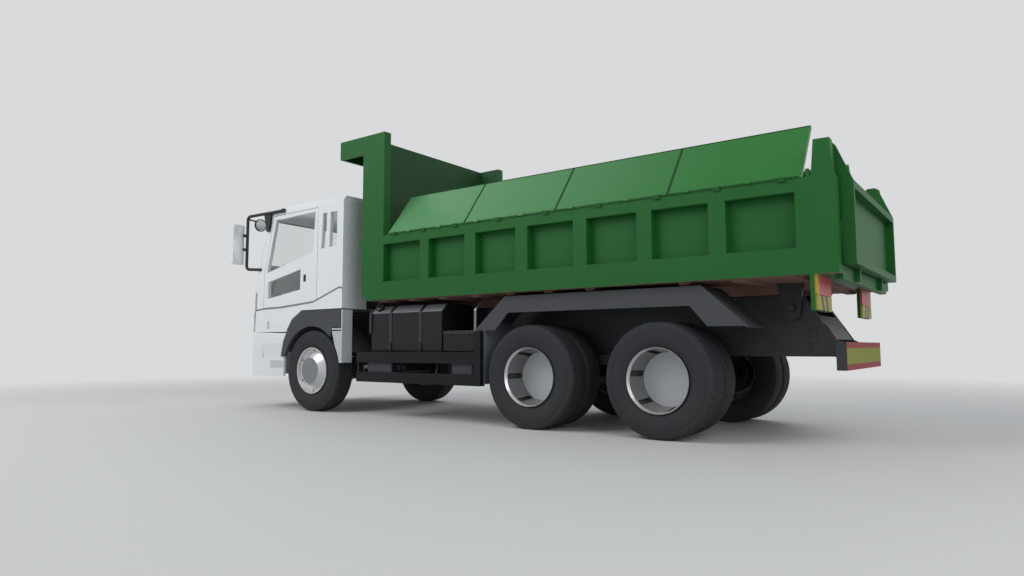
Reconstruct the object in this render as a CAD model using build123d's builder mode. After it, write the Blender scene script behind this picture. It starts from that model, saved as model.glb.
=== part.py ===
"""Three-axle cab-over dump truck: chassis, tilting cab, tipping bed and running gear.

Axes: +X forward, +Y to the vehicle's left, +Z up, millimetres.  The origin is on the
ground, under the middle of the vehicle's outer box.
"""
import os
from math import cos, radians, sin

from build123d import *

os.makedirs("parts", exist_ok=True)

SIDES = {"left": 1, "right": -1}

# ---------------------------------------------------------------- running gear
TYRE_R = 525
BEAD_R = 292
AXLE_FRONT_X = 2480
AXLE_MID_X = -970
AXLE_REAR_X = -2360
FRONT_TYRE = (895, 1170)            # inner and outer side of the single tyre
DUAL_TYRES = ((920, 1190), (620, 890))
KINGPIN_Y = 900
KINGPIN_R = 24
STEER_ARM = (-240, -110)            # from the kingpin to the tie rod's pin, X and inward Y
TIE_ROD_Z = 470
FRONT_HOLES = (6, 263, 11)          # number, pitch radius and radius of the holes in a front wheel
POCKETS = (6, 56, 283, 938, 1150)   # number, width, floor radius, inner and outer Y in a dual wheel's barrel
POCKET_START = {"mid": 0, "rear": 12}

# ---------------------------------------------------------------- springs
FRONT_LEAVES = (230, 350, 450, 550, 650)        # half length of each leaf, lowest first
FRONT_LEAF = (345, 580, 16, 6000)   # inner Y, underside of the lowest leaf, thickness, radius of the camber
REAR_LEAVES = (790, 670, 540, 400, 260)
REAR_LEAF = (470, 640, 20, -9750)
LEAF_W = {"front": 80, "rear": 90}
TRUNNION_Z = 560

# ---------------------------------------------------------------- chassis
RAIL_OUT = 430                      # outer face of a rail
RAIL_W = 80
RAIL_Z = (735, 1030)
PLATE = 10
CROSS_MEMBERS = (3560, 960, 250, -1665, -2900, -3500)
RAIL_FRONT_X = 3700
TAIL_X = -3679                      # rear end of the rails
TAIL_SLOPE = ((-3426, 1281), (-3679, 886))
SUBFRAME_FRONT_X = 1400
SUBFRAME_CROSS = (1300, 300, -2750, -3150)
SUBFRAME = ((SUBFRAME_FRONT_X, 1025), (SUBFRAME_FRONT_X, 1180), (SUBFRAME_FRONT_X - 150, 1281), TAIL_SLOPE[0],
            (-3590, 1025))
BED_PIVOT = (-3345, 1165)           # X and Z of the bed's rear hinge pin
BED_PIN_R = 30
HOIST_BASE = (-345, 865)            # X and Z of the hoist's lower pin
HOIST_EYE = (-2145, 1285)           # X and Z of the rod's eye with the bed down
CAB_PIVOT = (3760, 785)             # X and Z of the cab's tilt axis
CAB_PIN_R = 18
CAB_ARM = ((3760, 740), (3640, 752), (3556, 880), (3556, 1330), (3650, 1330), (3650, 930), (3706, 850),
           (3760, 830))

# ---------------------------------------------------------------- bed
BED_Y = 1189                        # outer face of the side walls
WALL_T = 107
BED_FRONT_X = 1520
BED_REAR_X = -3885
FLOOR_Z = (1390, 1460)
WALL_TOP_Z = 2165
POST_REAR_X = 1145
POST_TOP_Z = 3445
CANOPY_FRONT_X = 1955
CANOPY_Z = 3215
RECESS_Z = (1608, 2052)
RECESS_DEPTH = 92
RECESS_RIM = 7                      # chamfer round the mouth of a recess
RECESSES = (                        # front edge X, length
    (1140, 595),
    (406, 530),
    (-281, 530),
    (-966, 540),
    (-1660, 525),
    (-2335, 525),
    (-3013, 560),
)
REAR_POST = ((-3705, 2160), (-3731, 2458), (-3851, 2456), (-3867, 2171), (-3885, 2140), (-3885, 2100))
GATE_PIN = (-3798, 2375)            # X and Z of the tailgate's hinge pin
GATE_PIN_R = 16
GATE_Y = 1027
GATE_REAR_X = -3984
GATE_Z = (1468, 2130)
GATE_T = 91
GATE_RIM = (42, 60, 70)             # width of the rim at the sides, at top and bottom, and its depth
LAMP_Y = (683, 1175)
LAMP_Z = (1110, 1230, 1390)         # lower edge, seam between the two lenses, upper edge
GATE_EAR = ((-3885, 2120), (-3885, 2190), (-3742, 2340), (-3740, 2430), (-3760, 2455),
            (-3838, 2455), (-3862, 2428), (-3984, 2125))

FLAP_X = (1072, -3634)              # front and rear end of a side flap
FLAP_LENGTH = 660
FLAP_T = 34
FLAP_LEAN = 37.2                    # degrees inward from upright
FLAP_SEAMS = (-114, -1299, -2492)
FLAP_PIN = (1201, 2177)             # Y and Z of the flap's hinge pin
FLAP_PIN_R = 6
KNUCKLE_R = 11
FLAP_HINGES = (950, 480, 0, -600, -1200, -1800, -2400, -2950, -3480)
KNUCKLE_HALF = 28                   # half the length of a hinge knuckle

# ---------------------------------------------------------------- cab
CAB_Y = 1189
CAB_BULGE = 60                      # how far the middle of the front stands ahead of its corners
CAB_CORNER_R = 170
CAB_SECTIONS = (                    # height, front corner X, rear X, half width
    (1035, 3862, 1875, 1189),
    (1300, 3862, 1875, 1189),
    (1345, 3845, 1875, 1189),
    (1620, 3840, 1875, 1189),
    (1790, 3819, 1875, 1189),
    (1960, 3749, 1875, 1189),
    (2700, 3549, 1875, 1189),
    (2765, 3440, 1905, 1120),
)
CAB_FLOOR_Z = (1315, 1375)
CAB_WALL = 55
DOOR_GAP = 8
DOOR_OUTLINE = ((3528, 1372), (3521, 1862), (3334, 2640), (2385, 2652), (2385, 1449), (2453, 1427),
                (3153, 1378))
DOOR_WINDOW = ((3289, 2588), (3476, 1858), (2470, 2070), (2434, 2608))
LOW_WINDOW = ((3438, 1727), (2723, 1862), (2726, 1592), (3442, 1495))
SLOT_WINDOWS = (
    ((2281, 2568), (2195, 2565), (2213, 2106), (2308, 2104)),
    ((2129, 2566), (1997, 2564), (1997, 2120), (2148, 2110)),
)
WINDSCREEN = (1000, 1990, 2630)     # half width, lower and upper edge
LID = (900, 1110, 1870)             # half width, lower and upper edge of the front service panel
CAB_LOWER_EDGE = ((1800, 900), (2985, 900), (2995, 1060), (2885, 1205), (2680, 1315), (1800, 1315))
WHEEL_CENTRE = (3180, -560, 1930)   # the driver sits on the right
COLUMN_TILT = 38
BUMPER_SECTIONS = (                 # height, front corner X, rear X, half width
    (437, 3845, 3040, 1189),
    (700, 3866, 3040, 1189),
    (1005, 3866, 2960, 1189),
)
CREASE = ((3725, 1351), (3531, 1370), (3153, 1374), (2453, 1425), (1934, 1593), (1861, 1577))
CREASE_W = 24
CREASE_DEPTH = 9
HANDLE_POCKET = ((2608, 2665), (1690, 1786), 18)     # X span, Z span, depth
MARKER_SLIT = ((3388, 3426), (1080, 1186), 9)
GRILLE_ROWS = ((1180, 1215), (1255, 1290), (1330, 1365), (1405, 1440))
GRILLE_SPANS = ((-640, -45), (45, 640))
INTAKE_ROWS = ((490, 535), (565, 610))
HEADLAMP = (620, 1010, 720, 900)   # inner and outer Y, lower and upper Z
SIDE_LAMP = ((3052, 3328), (558, 642))
ARCH_R = 575
LINER_R = 602
ARCH_BAND = ((3112, 705), (3065, 905), (2982, 1050), (2877, 1193), (2671, 1305), (1897, 1301), (1897, 1075),
             (2060, 1075), (2200, 705))


def side_plane(y):
    """Plane of a side view, X to the right and Z up, whose extrusion runs towards -Y."""
    return Plane(origin=(0, y, 0), x_dir=(1, 0, 0), z_dir=(0, -1, 0))


def slab(points, y_from, y_to, mode=Mode.ADD, grow=0):
    """Adds a side-view outline, extruded between two Y planes, to the part being built."""
    with BuildSketch(side_plane(max(y_from, y_to))) as outline:
        with BuildLine():
            Polyline(*points, close=True)
        make_face()
        if grow:
            offset(amount=grow, kind=Kind.INTERSECTION)
    extrude(outline.sketch, amount=abs(y_to - y_from), mode=mode)


def block(x_span, y_span, z_span, mode=Mode.ADD):
    """Adds a box between pairs of limits to the part being built."""
    size = [abs(b - a) for a, b in (x_span, y_span, z_span)]
    middle = [(a + b) / 2 for a, b in (x_span, y_span, z_span)]
    with Locations(tuple(middle)):
        Box(*size, mode=mode)


def rod(start, end, radius, mode=Mode.ADD):
    """Adds a round bar between two points to the part being built."""
    axis = Vector(*end) - Vector(*start)
    with Locations(Plane(origin=start, z_dir=axis)):
        Cylinder(radius, axis.length, align=(Align.CENTER, Align.CENTER, Align.MIN), mode=mode)


def pin(at, y_from, y_to, radius, mode=Mode.ADD):
    """Adds a round bar across the vehicle, at an (X, Z), to the part being built."""
    rod((at[0], y_from, at[1]), (at[0], y_to, at[1]), radius, mode)


def turned(points, x, z):
    """Adds the (Y, radius) points, revolved about the cross axis at X, Z, to the part being built."""
    with BuildSketch(Plane(origin=(x, 0, z), x_dir=(0, 1, 0), z_dir=(1, 0, 0))) as profile:
        with BuildLine():
            Polyline(*points, close=True)
        make_face()
    revolve(profile.sketch, axis=Axis((x, 0, z), (0, 1, 0)))


def mirrored(points, side):
    """The (Y, radius) points of a wheel for one side of the vehicle."""
    return [(side * y, r) for y, r in points]


def wheel_side(side, x):
    """Plane across a wheel, outward from the vehicle's middle by radius."""
    return Plane(origin=(x, 0, TYRE_R), x_dir=(0, side, 0), z_dir=(side, 0, 0))


def cone(start, end, radius_start, radius_end):
    """Adds a tapered round bar between two points to the part being built."""
    axis = Vector(*end) - Vector(*start)
    with Locations(Plane(origin=start, z_dir=axis)):
        Cone(radius_start, radius_end, axis.length, align=(Align.CENTER, Align.CENTER, Align.MIN))


def tank(start, end, radius, dome):
    """Adds a round tank with domed ends between two points to the part being built."""
    axis = Vector(*end) - Vector(*start)
    with Locations(Plane(origin=start, z_dir=axis)):
        body = Cylinder(radius, axis.length, align=(Align.CENTER, Align.CENTER, Align.MIN))
    fillet(body.edges().filter_by(GeomType.CIRCLE), dome)


def leaf(middle_x, low_z, half, camber, y_span, thickness):
    """Adds one spring leaf to the part being built; its ends rise, or fall where the camber is negative."""
    rise = half ** 2 / (2 * camber)
    with BuildSketch(side_plane(max(y_span))) as outline:
        with BuildLine():
            for z in (low_z, low_z + thickness):
                ThreePointArc((middle_x - half, z + rise), (middle_x, z), (middle_x + half, z + rise))
            for x in (middle_x - half, middle_x + half):
                Line((x, low_z + rise), (x, low_z + thickness + rise))
        make_face()
    extrude(outline.sketch, amount=abs(y_span[1] - y_span[0]))


# ================================================================ chassis
with BuildPart() as chassis_frame:
    for side in SIDES.values():
        out, inner = side * RAIL_OUT, side * (RAIL_OUT - RAIL_W)
        block((TAIL_X, RAIL_FRONT_X), (side * (RAIL_OUT - PLATE), out), RAIL_Z)
        for low in (RAIL_Z[0], RAIL_Z[1] - PLATE):
            block((TAIL_X, RAIL_FRONT_X), (inner, out), (low, low + PLATE))
        # sub-frame rail that carries the bed's hinge: a channel open towards the middle
        slab(SUBFRAME, inner, out)
        slab(SUBFRAME, inner - side, side * (RAIL_OUT - PLATE), mode=Mode.SUBTRACT, grow=-PLATE)
    for x in CROSS_MEMBERS:
        block((x - 5, x + 5), (RAIL_OUT - 5, 5 - RAIL_OUT), (RAIL_Z[0] + 60, RAIL_Z[1] - 60))
        for z in (RAIL_Z[0] + 65, RAIL_Z[1] - 65):
            block((x - 45, x + 5), (RAIL_OUT - 5, 5 - RAIL_OUT), (z - 5, z + 5))
    for x in SUBFRAME_CROSS:
        block((x - 50, x + 50), (RAIL_OUT - 5, 5 - RAIL_OUT), (1080, 1230))
        block((x - 51, x + 40), (RAIL_OUT - 90, 90 - RAIL_OUT), (1090, 1220), mode=Mode.SUBTRACT)
    slab(((TAIL_X - 1, 1300), (TAIL_SLOPE[0][0], 1300), TAIL_SLOPE[0], TAIL_SLOPE[1], (TAIL_X - 1, 886)),
         500, -500, mode=Mode.SUBTRACT)
    # plate that closes the tail between the rails, along its slope
    slab(((-3542, 1100), TAIL_SLOPE[1], (-3669, 879), (-3532, 1093)), 352, -352)
    # trunnions and pin of the hoist's lower end
    for side in SIDES.values():
        pin(HOIST_BASE, side * (RAIL_OUT - 5), side * 112, 62)
        cone((HOIST_BASE[0], side * (RAIL_OUT - 5), HOIST_BASE[1]), (HOIST_BASE[0], side * 330, HOIST_BASE[1]), 105, 62)
    pin(HOIST_BASE, -115, 115, 28)
    # horns and pins of the cab's tilt axis
    for side in SIDES.values():
        block((RAIL_FRONT_X - 5, CAB_PIVOT[0]), (side * 380, side * RAIL_OUT), (740, 830))
        pin(CAB_PIVOT, side * 380, side * RAIL_OUT, 45)
        pin(CAB_PIVOT, side * 380, side * 478, CAB_PIN_R)
    # bosses and pin of the bed's hinge
    for side in SIDES.values():
        pin(BED_PIVOT, side * 345, side * 440, 62)
    pin(BED_PIVOT, -530, 530, BED_PIN_R)
chassis_frame.part.label = "chassis_frame"
export_step(chassis_frame.part, "parts/chassis_frame.step")

with BuildPart() as driveline:
    # engine, a plain block, with its bell housing and gearbox behind
    block((2000, 3350), (-320, 320), (700, 1290))
    cone((2001, 0, 850), (1760, 0, 830), 270, 185)
    with BuildSketch(Plane.YZ.offset(1765)) as gearbox_front:
        with Locations((0, 820)):
            RectangleRounded(370, 380, 50)
    with BuildSketch(Plane.YZ.offset(1150)) as gearbox_rear:
        with Locations((0, 780)):
            RectangleRounded(250, 270, 50)
    loft(Sketch() + [gearbox_front.sketch, gearbox_rear.sketch])
    # propeller shaft and the flanges of its joints
    cone((1155, 0, 735), (1060, 0, 720), 75, 60)
    rod((1100, 0, 727), (-560, 0, 556), 48)
    rod((-1220, 0, 555), (-1960, 0, 555), 42)
    for x, z in ((1060, 722), (-540, 555), (-1220, 555), (-1930, 555)):
        rod((x, 0, z), (x - 30, 0, z), 80)
driveline.part.label = "driveline"
export_step(driveline.part, "parts/driveline.step")

FRONT_BEAM = ((-880, 600), (-750, 600), (-620, 527), (620, 527), (750, 600), (880, 600), (880, 440), (770, 440),
              (650, 405), (-650, 405), (-770, 440), (-880, 440))
BEAM_W = 100
BOGIE_X = (AXLE_MID_X + AXLE_REAR_X) / 2
with BuildPart() as axles:
    # forged front beam, dropped in the middle, with its kingpin eyes
    with BuildSketch(Plane.YZ.offset(AXLE_FRONT_X - BEAM_W / 2)) as beam:
        with BuildLine():
            Polyline(*FRONT_BEAM, close=True)
        make_face()
    extrude(beam.sketch, amount=BEAM_W)
    for face_x, way in ((AXLE_FRONT_X - BEAM_W / 2, 1), (AXLE_FRONT_X + BEAM_W / 2, -1)):
        with BuildSketch(Plane.YZ.offset(face_x)) as web:
            with BuildLine():
                Polyline((-600, 505), (600, 505), (640, 430), (-640, 430), close=True)
            make_face()
        extrude(web.sketch, amount=way * 32, mode=Mode.SUBTRACT)
    for side in SIDES.values():
        rod((AXLE_FRONT_X, side * KINGPIN_Y, 440), (AXLE_FRONT_X, side * KINGPIN_Y, 610), 48)
        block((AXLE_FRONT_X - 70, AXLE_FRONT_X + 70), (side * 345, side * 425), (520, FRONT_LEAF[1]))
        rod((AXLE_FRONT_X, side * KINGPIN_Y, 400), (AXLE_FRONT_X, side * KINGPIN_Y, 650), KINGPIN_R + 0.4,
            mode=Mode.SUBTRACT)
    # driven axles: a round banjo housing, its nose and the seats of the springs
    for x in (AXLE_MID_X, AXLE_REAR_X):
        with BuildSketch(wheel_side(1, x)) as housing:
            with BuildLine():
                Polyline((-330, 90), (-600, 74), (-870, 70), (-870, 0), (870, 0), (870, 70), (600, 74),
                         (330, 90))
                ThreePointArc((330, 90), (0, 215), (-330, 90))
            make_face()
        revolve(housing.sketch, axis=Axis((x, 0, TYRE_R), (0, 1, 0)))
        cone((x + 120, 0, TYRE_R + 20), (x + 330, 0, TYRE_R + 28), 165, 90)
        rod((x + 320, 0, TYRE_R + 30), (x + 400, 0, TYRE_R + 30), 72)
        if x == AXLE_MID_X:
            rod((x - 180, 0, TYRE_R + 30), (x - 250, 0, TYRE_R + 30), 66)
        for side in SIDES.values():
            heel, toe = [REAR_LEAF[1] + (end - BOGIE_X) ** 2 / (2 * REAR_LEAF[3]) for end in (x - 60, x + 60)]
            slab(((x - 60, 560), (x - 60, heel), (x + 60, toe), (x + 60, 560)), side * 470, side * 560)
axles.part.label = "axles"
export_step(axles.part, "parts/axles.step")

with BuildPart() as leaf_springs:
    for side in SIDES.values():
        inner_y, low_z, thickness, camber = FRONT_LEAF
        y_span = (side * inner_y, side * (inner_y + LEAF_W["front"]))
        for row, half in enumerate(FRONT_LEAVES):
            leaf(AXLE_FRONT_X, low_z + row * thickness, half, camber, y_span, thickness)
        block((AXLE_FRONT_X - 75, AXLE_FRONT_X + 75), y_span, (low_z + 79, low_z + 98))
        eye_z = low_z + 5 * thickness + FRONT_LEAVES[-1] ** 2 / (2 * camber) - 8
        for x in (AXLE_FRONT_X - FRONT_LEAVES[-1], AXLE_FRONT_X + FRONT_LEAVES[-1]):
            pin((x, eye_z), y_span[0], y_span[1], 27)
            slab(((x - 70, RAIL_Z[0]), (x + 70, RAIL_Z[0]), (x + 24, eye_z), (x - 24, eye_z)), *y_span)
        inner_y, low_z, thickness, camber = REAR_LEAF
        y_span = (side * inner_y, side * (inner_y + LEAF_W["rear"]))
        for row, half in enumerate(REAR_LEAVES):
            leaf(BOGIE_X, low_z + row * thickness, half, camber, y_span, thickness)
        block((BOGIE_X - 90, BOGIE_X + 90), y_span, (low_z + 99, low_z + 124))
        # saddle on the trunnion shaft and the bracket that hangs the shaft from the rail
        slab(((BOGIE_X - 130, low_z + 2), (BOGIE_X + 130, low_z + 2), (BOGIE_X + 75, TRUNNION_Z - 20),
              (BOGIE_X - 75, TRUNNION_Z - 20)), *y_span)
        slab(((BOGIE_X - 210, RAIL_Z[1] - 40), (BOGIE_X + 210, RAIL_Z[1] - 40), (BOGIE_X + 210, RAIL_Z[0]),
              (BOGIE_X + 70, TRUNNION_Z - 60), (BOGIE_X - 70, TRUNNION_Z - 60), (BOGIE_X - 210, RAIL_Z[0])),
             side * RAIL_OUT, side * (RAIL_OUT + 28))
        pin((BOGIE_X, TRUNNION_Z), side * 400, side * 590, 55)
leaf_springs.part.label = "leaf_springs"
export_step(leaf_springs.part, "parts/leaf_springs.step")

# ================================================================ steered wheels
for name, side in SIDES.items():
    y = side * KINGPIN_Y
    with BuildPart() as knuckle:
        rod((AXLE_FRONT_X, y, 395), (AXLE_FRONT_X, y, 655), KINGPIN_R)
        for z_span in ((388, 432), (618, 662)):
            rod((AXLE_FRONT_X, y, z_span[0]), (AXLE_FRONT_X, y, z_span[1]), 50)
            block((AXLE_FRONT_X - 45, AXLE_FRONT_X + 45), (y, side * 985), z_span)
        pin((AXLE_FRONT_X, TYRE_R), side * 965, side * 1000, 150)
        pin((AXLE_FRONT_X, TYRE_R), side * 990, side * 1120, 40)
        arm_end = (AXLE_FRONT_X + STEER_ARM[0], side * (KINGPIN_Y + STEER_ARM[1]), 395)
        rod((AXLE_FRONT_X - 20, y, 395), arm_end, 19)
        rod(arm_end, (arm_end[0], arm_end[1], 446), 24)
    knuckle.part.label = f"knuckle_{name}"
    export_step(knuckle.part, f"parts/knuckle_{name}.step")

with BuildPart() as tie_rod:
    ends = [(AXLE_FRONT_X + STEER_ARM[0], side * (KINGPIN_Y + STEER_ARM[1]), TIE_ROD_Z) for side in (1, -1)]
    rod(ends[0], ends[1], 20)
    for end in ends:
        rod((end[0], end[1], TIE_ROD_Z - 22), (end[0], end[1], TIE_ROD_Z + 22), 32)
tie_rod.part.label = "tie_rod"
export_step(tie_rod.part, "parts/tie_rod.step")


def tyre(inner, outer, side, x):
    """Adds one tyre to the part being built: domed walls, round shoulders and a slightly crowned tread."""
    with BuildSketch(wheel_side(side, x)) as section:
        with BuildLine():
            Line((inner + 28, BEAD_R), (outer - 28, BEAD_R))
            for edge, way in ((inner, 1), (outer, -1)):
                ThreePointArc((edge + way * 28, BEAD_R), (edge + way * 2, 385), (edge + way * 12, 490))
                ThreePointArc((edge + way * 12, 490), (edge + way * 20, 511), (edge + way * 38, 522))
            ThreePointArc((inner + 38, 522), ((inner + outer) / 2, TYRE_R), (outer - 38, 522))
        make_face()
    revolve(section.sketch, axis=Axis((x, 0, TYRE_R), (0, 1, 0)))


FRONT_RIM = (                       # Y and radius, from the hub's bore round the drum, the barrel and the disc
    (1050, 60), (1050, 190), (1006, 190), (1006, 208), (1072, 208), (1095, 256), (1095, 263), (925, 262),
    (910, 280), (925, 291), (1140, 291), (1168, 298), (1168, 286), (1130, 276), (1124, 250), (1192, 166),
    (1192, 0), (1125, 0), (1125, 60))
DUAL_RIM = (                        # Y and radius, from the disc along the outer and inner barrels to the drum
    (925, 0), (925, 248), (1160, 280), (1186, 298), (1160, 291), (940, 291), (895, 275), (870, 291),
            (650, 291), (624, 298), (650, 280), (880, 248), (900, 230), (890, 206), (670, 206), (670, 190),
            (890, 190), (890, 0))
for name, side in SIDES.items():
    with BuildPart() as front_tyre:
        tyre(*FRONT_TYRE, side, AXLE_FRONT_X)
    front_tyre.part.label = f"tyre_front_{name}"
    export_step(front_tyre.part, f"parts/tyre_front_{name}.step")
    with BuildPart() as rim:
        turned(mirrored(FRONT_RIM, side), AXLE_FRONT_X, TYRE_R)
        count, pitch_r, hole_r = FRONT_HOLES
        with BuildSketch(Plane(origin=(AXLE_FRONT_X, side * 1140, TYRE_R), z_dir=(0, -side, 0))) as holes:
            with PolarLocations(pitch_r, count):
                Circle(hole_r)
        extrude(holes.sketch, amount=42, mode=Mode.SUBTRACT)
    rim.part.label = f"rim_front_{name}"
    export_step(rim.part, f"parts/rim_front_{name}.step")
    for place, x in (("mid", AXLE_MID_X), ("rear", AXLE_REAR_X)):
        with BuildPart() as tyres:
            for span in DUAL_TYRES:
                tyre(*span, side, x)
        tyres.part.label = f"tyres_{place}_{name}"
        export_step(tyres.part, f"parts/tyres_{place}_{name}.step")
        with BuildPart() as rims:
            turned(mirrored(DUAL_RIM, side), x, TYRE_R)
            # long pockets along the inside of the outer barrel
            count, width, floor_r, near, far = POCKETS
            middle = Plane(origin=(x, side * (near + far) / 2, TYRE_R), x_dir=(1, 0, 0), z_dir=(0, -1, 0))
            with Locations(middle):
                with PolarLocations(floor_r - 50, count, start_angle=POCKET_START[place]):
                    Box(100, width, far - near, mode=Mode.SUBTRACT)
        rims.part.label = f"rims_{place}_{name}"
        export_step(rims.part, f"parts/rims_{place}_{name}.step")

# ================================================================ bed
BED_CROSS = (1250, 770, 290, -190, -670, -1150, -1630, -2590, -3070, -3550)
HOOK_Y = (525, 575)
HANGER_FOOT = ((-3417, 1127), (BED_PIVOT[0], 1055), (-3273, 1127))      # arc round the foot, X and Z
with BuildPart() as bed_floor:
    block((BED_REAR_X, BED_FRONT_X - 35), (WALL_T - BED_Y, BED_Y - WALL_T), FLOOR_Z)
    for side in SIDES.values():
        # long runner, cut away above the hinge so that it clears the sub-frame's end
        slab(((1400, FLOOR_Z[0]), (1400, 1330), (1340, 1290), (-3235, 1290), (-3265, 1325), (-3500, 1325),
              (-3500, FLOOR_Z[0])), side * 350, side * 430)
        # hanger that holds the bed on its rear pin
        with BuildSketch(side_plane(side * 445 if side < 0 else side * 475)) as hanger:
            with BuildLine():
                Polyline(HANGER_FOOT[0], (-3447, FLOOR_Z[0] + 5), (-3225, FLOOR_Z[0] + 5), HANGER_FOOT[2])
                ThreePointArc(*reversed(HANGER_FOOT))
            make_face()
        extrude(hanger.sketch, amount=30)
        # cheeks that take the eye of the hoist's rod
        slab(((HOIST_EYE[0] - 260, FLOOR_Z[0]), (HOIST_EYE[0] + 130, FLOOR_Z[0]), (HOIST_EYE[0] + 70, 1235),
              (HOIST_EYE[0] + 30, 1215), (HOIST_EYE[0] - 50, 1215), (HOIST_EYE[0] - 200, 1300)),
             side * 62, side * 84)
        pin(HOIST_EYE, side * 80, side * 104, 48)
    # cross bearers, narrower at the foot
    for x in BED_CROSS:
        slab(((x - 60, FLOOR_Z[0] + 1), (x + 60, FLOOR_Z[0] + 1), (x + 42, 1368), (x - 42, 1368)),
             WALL_T - BED_Y, BED_Y - WALL_T)
    # rear sill and the plates of the rear lamps
    block((BED_REAR_X, BED_REAR_X + 60), (-1040, 1040), (1352, 1400))
    for side in SIDES.values():
        block((-3702, -3672), (side * LAMP_Y[0], side * BED_Y), (LAMP_Z[0] - 4, FLOOR_Z[0]))
        block((BED_REAR_X - 40, BED_REAR_X + 40), (side * HOOK_Y[0], side * HOOK_Y[1]), (1360, 1400))
        block((BED_REAR_X - 40, BED_REAR_X), (side * HOOK_Y[0], side * HOOK_Y[1]), (1360, GATE_Z[0] - 5))
    pin(BED_PIVOT, -480, 480, BED_PIN_R + 0.5, mode=Mode.SUBTRACT)
bed_floor.part.label = "bed_floor"
export_step(bed_floor.part, "parts/bed_floor.step")

WALL_OUTLINE = ((BED_FRONT_X, 1475), (1423, FLOOR_Z[0]), (BED_REAR_X, FLOOR_Z[0]),
                (BED_REAR_X, WALL_TOP_Z - 50), (-3700, WALL_TOP_Z), (POST_REAR_X, WALL_TOP_Z),
                (POST_REAR_X, POST_TOP_Z), (BED_FRONT_X, POST_TOP_Z))
for name, side in SIDES.items():
    inner, outer = side * (BED_Y - WALL_T), side * BED_Y
    with BuildPart() as wall:
        slab(WALL_OUTLINE, inner, outer)
        slab(REAR_POST, inner, outer)
        with BuildSketch(side_plane(side * BED_Y)) as mouths:
            for front_x, length in RECESSES:
                with Locations((front_x - length / 2, sum(RECESS_Z) / 2)):
                    Rectangle(length, RECESS_Z[1] - RECESS_Z[0])
        with BuildSketch(side_plane(side * BED_Y)) as rims:
            for front_x, length in RECESSES:
                with Locations((front_x - length / 2, sum(RECESS_Z) / 2)):
                    Rectangle(length + 2 * RECESS_RIM, RECESS_Z[1] - RECESS_Z[0] + 2 * RECESS_RIM)
        extrude(mouths.sketch, amount=side * RECESS_DEPTH, mode=Mode.SUBTRACT)
        extrude(rims.sketch, amount=side * RECESS_RIM, taper=45, mode=Mode.SUBTRACT)
        block((BED_FRONT_X - 5, BED_FRONT_X + 40), (side * 1120, outer), (2052, 2154))
        block((-3691, -3666), (side * 1150, outer), (WALL_TOP_Z - 20, 2230))
        pin(GATE_PIN, inner - side, outer + side, GATE_PIN_R + 0.6,
            mode=Mode.SUBTRACT)
        # hinge pin of the flap and the lugs that hold it
        rod((FLAP_X[0] - 20, side * FLAP_PIN[0], FLAP_PIN[1]), (FLAP_X[1] + 20, side * FLAP_PIN[0], FLAP_PIN[1]),
                FLAP_PIN_R)
        for x in FLAP_HINGES:
            near, far = x - KNUCKLE_HALF, x + KNUCKLE_HALF
            rod((near, side * FLAP_PIN[0], FLAP_PIN[1]), (far, side * FLAP_PIN[0], FLAP_PIN[1]), KNUCKLE_R)
            block((near, far), (side * (BED_Y - 3), side * (BED_Y + 12)), (2145, WALL_TOP_Z - 2))
            block((near, far), (side * (BED_Y + 6), side * (BED_Y + 18)), (WALL_TOP_Z - 10, FLAP_PIN[1]))
    wall.part.label = f"bed_side_{name}"
    export_step(wall.part, f"parts/bed_side_{name}.step")

HEAD_RIBS = (-760, -255, 255, 760)
with BuildPart() as bed_headboard:
    half = BED_Y - WALL_T
    block((BED_FRONT_X - 35, BED_FRONT_X), (-half, half), (FLOOR_Z[0], POST_TOP_Z))
    # stiffening ribs on the front face
    for y in HEAD_RIBS:
        slab(((BED_FRONT_X - 1, 1520), (BED_FRONT_X + 55, 1580), (BED_FRONT_X + 55, CANOPY_Z + 20),
              (BED_FRONT_X - 1, CANOPY_Z + 20)), y - 40, y + 40)
    # canopy over the cab, a folded plate open below
    block((BED_FRONT_X, CANOPY_FRONT_X), (-BED_Y, BED_Y), (CANOPY_Z, POST_TOP_Z))
    block((BED_FRONT_X + 70, CANOPY_FRONT_X - 30), (-BED_Y + 30, BED_Y - 30), (CANOPY_Z - 1, POST_TOP_Z - 30),
          mode=Mode.SUBTRACT)
bed_headboard.part.label = "bed_headboard"
export_step(bed_headboard.part, "parts/bed_headboard.step")

with BuildPart() as tailgate:
    block((GATE_REAR_X, GATE_REAR_X + GATE_T), (-GATE_Y, GATE_Y), GATE_Z)
    side_rim, end_rim, depth = GATE_RIM
    block((GATE_REAR_X - 1, GATE_REAR_X + depth), (side_rim - GATE_Y, GATE_Y - side_rim),
          (GATE_Z[0] + end_rim, GATE_Z[1] - end_rim), mode=Mode.SUBTRACT)
    for side in SIDES.values():
        slab(GATE_EAR, side * (GATE_Y - 28), side * GATE_Y)
        pin(GATE_PIN, side * (GATE_Y - 10), side * (BED_Y + 3), GATE_PIN_R)
tailgate.part.label = "tailgate"
export_step(tailgate.part, "parts/tailgate.step")

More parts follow.
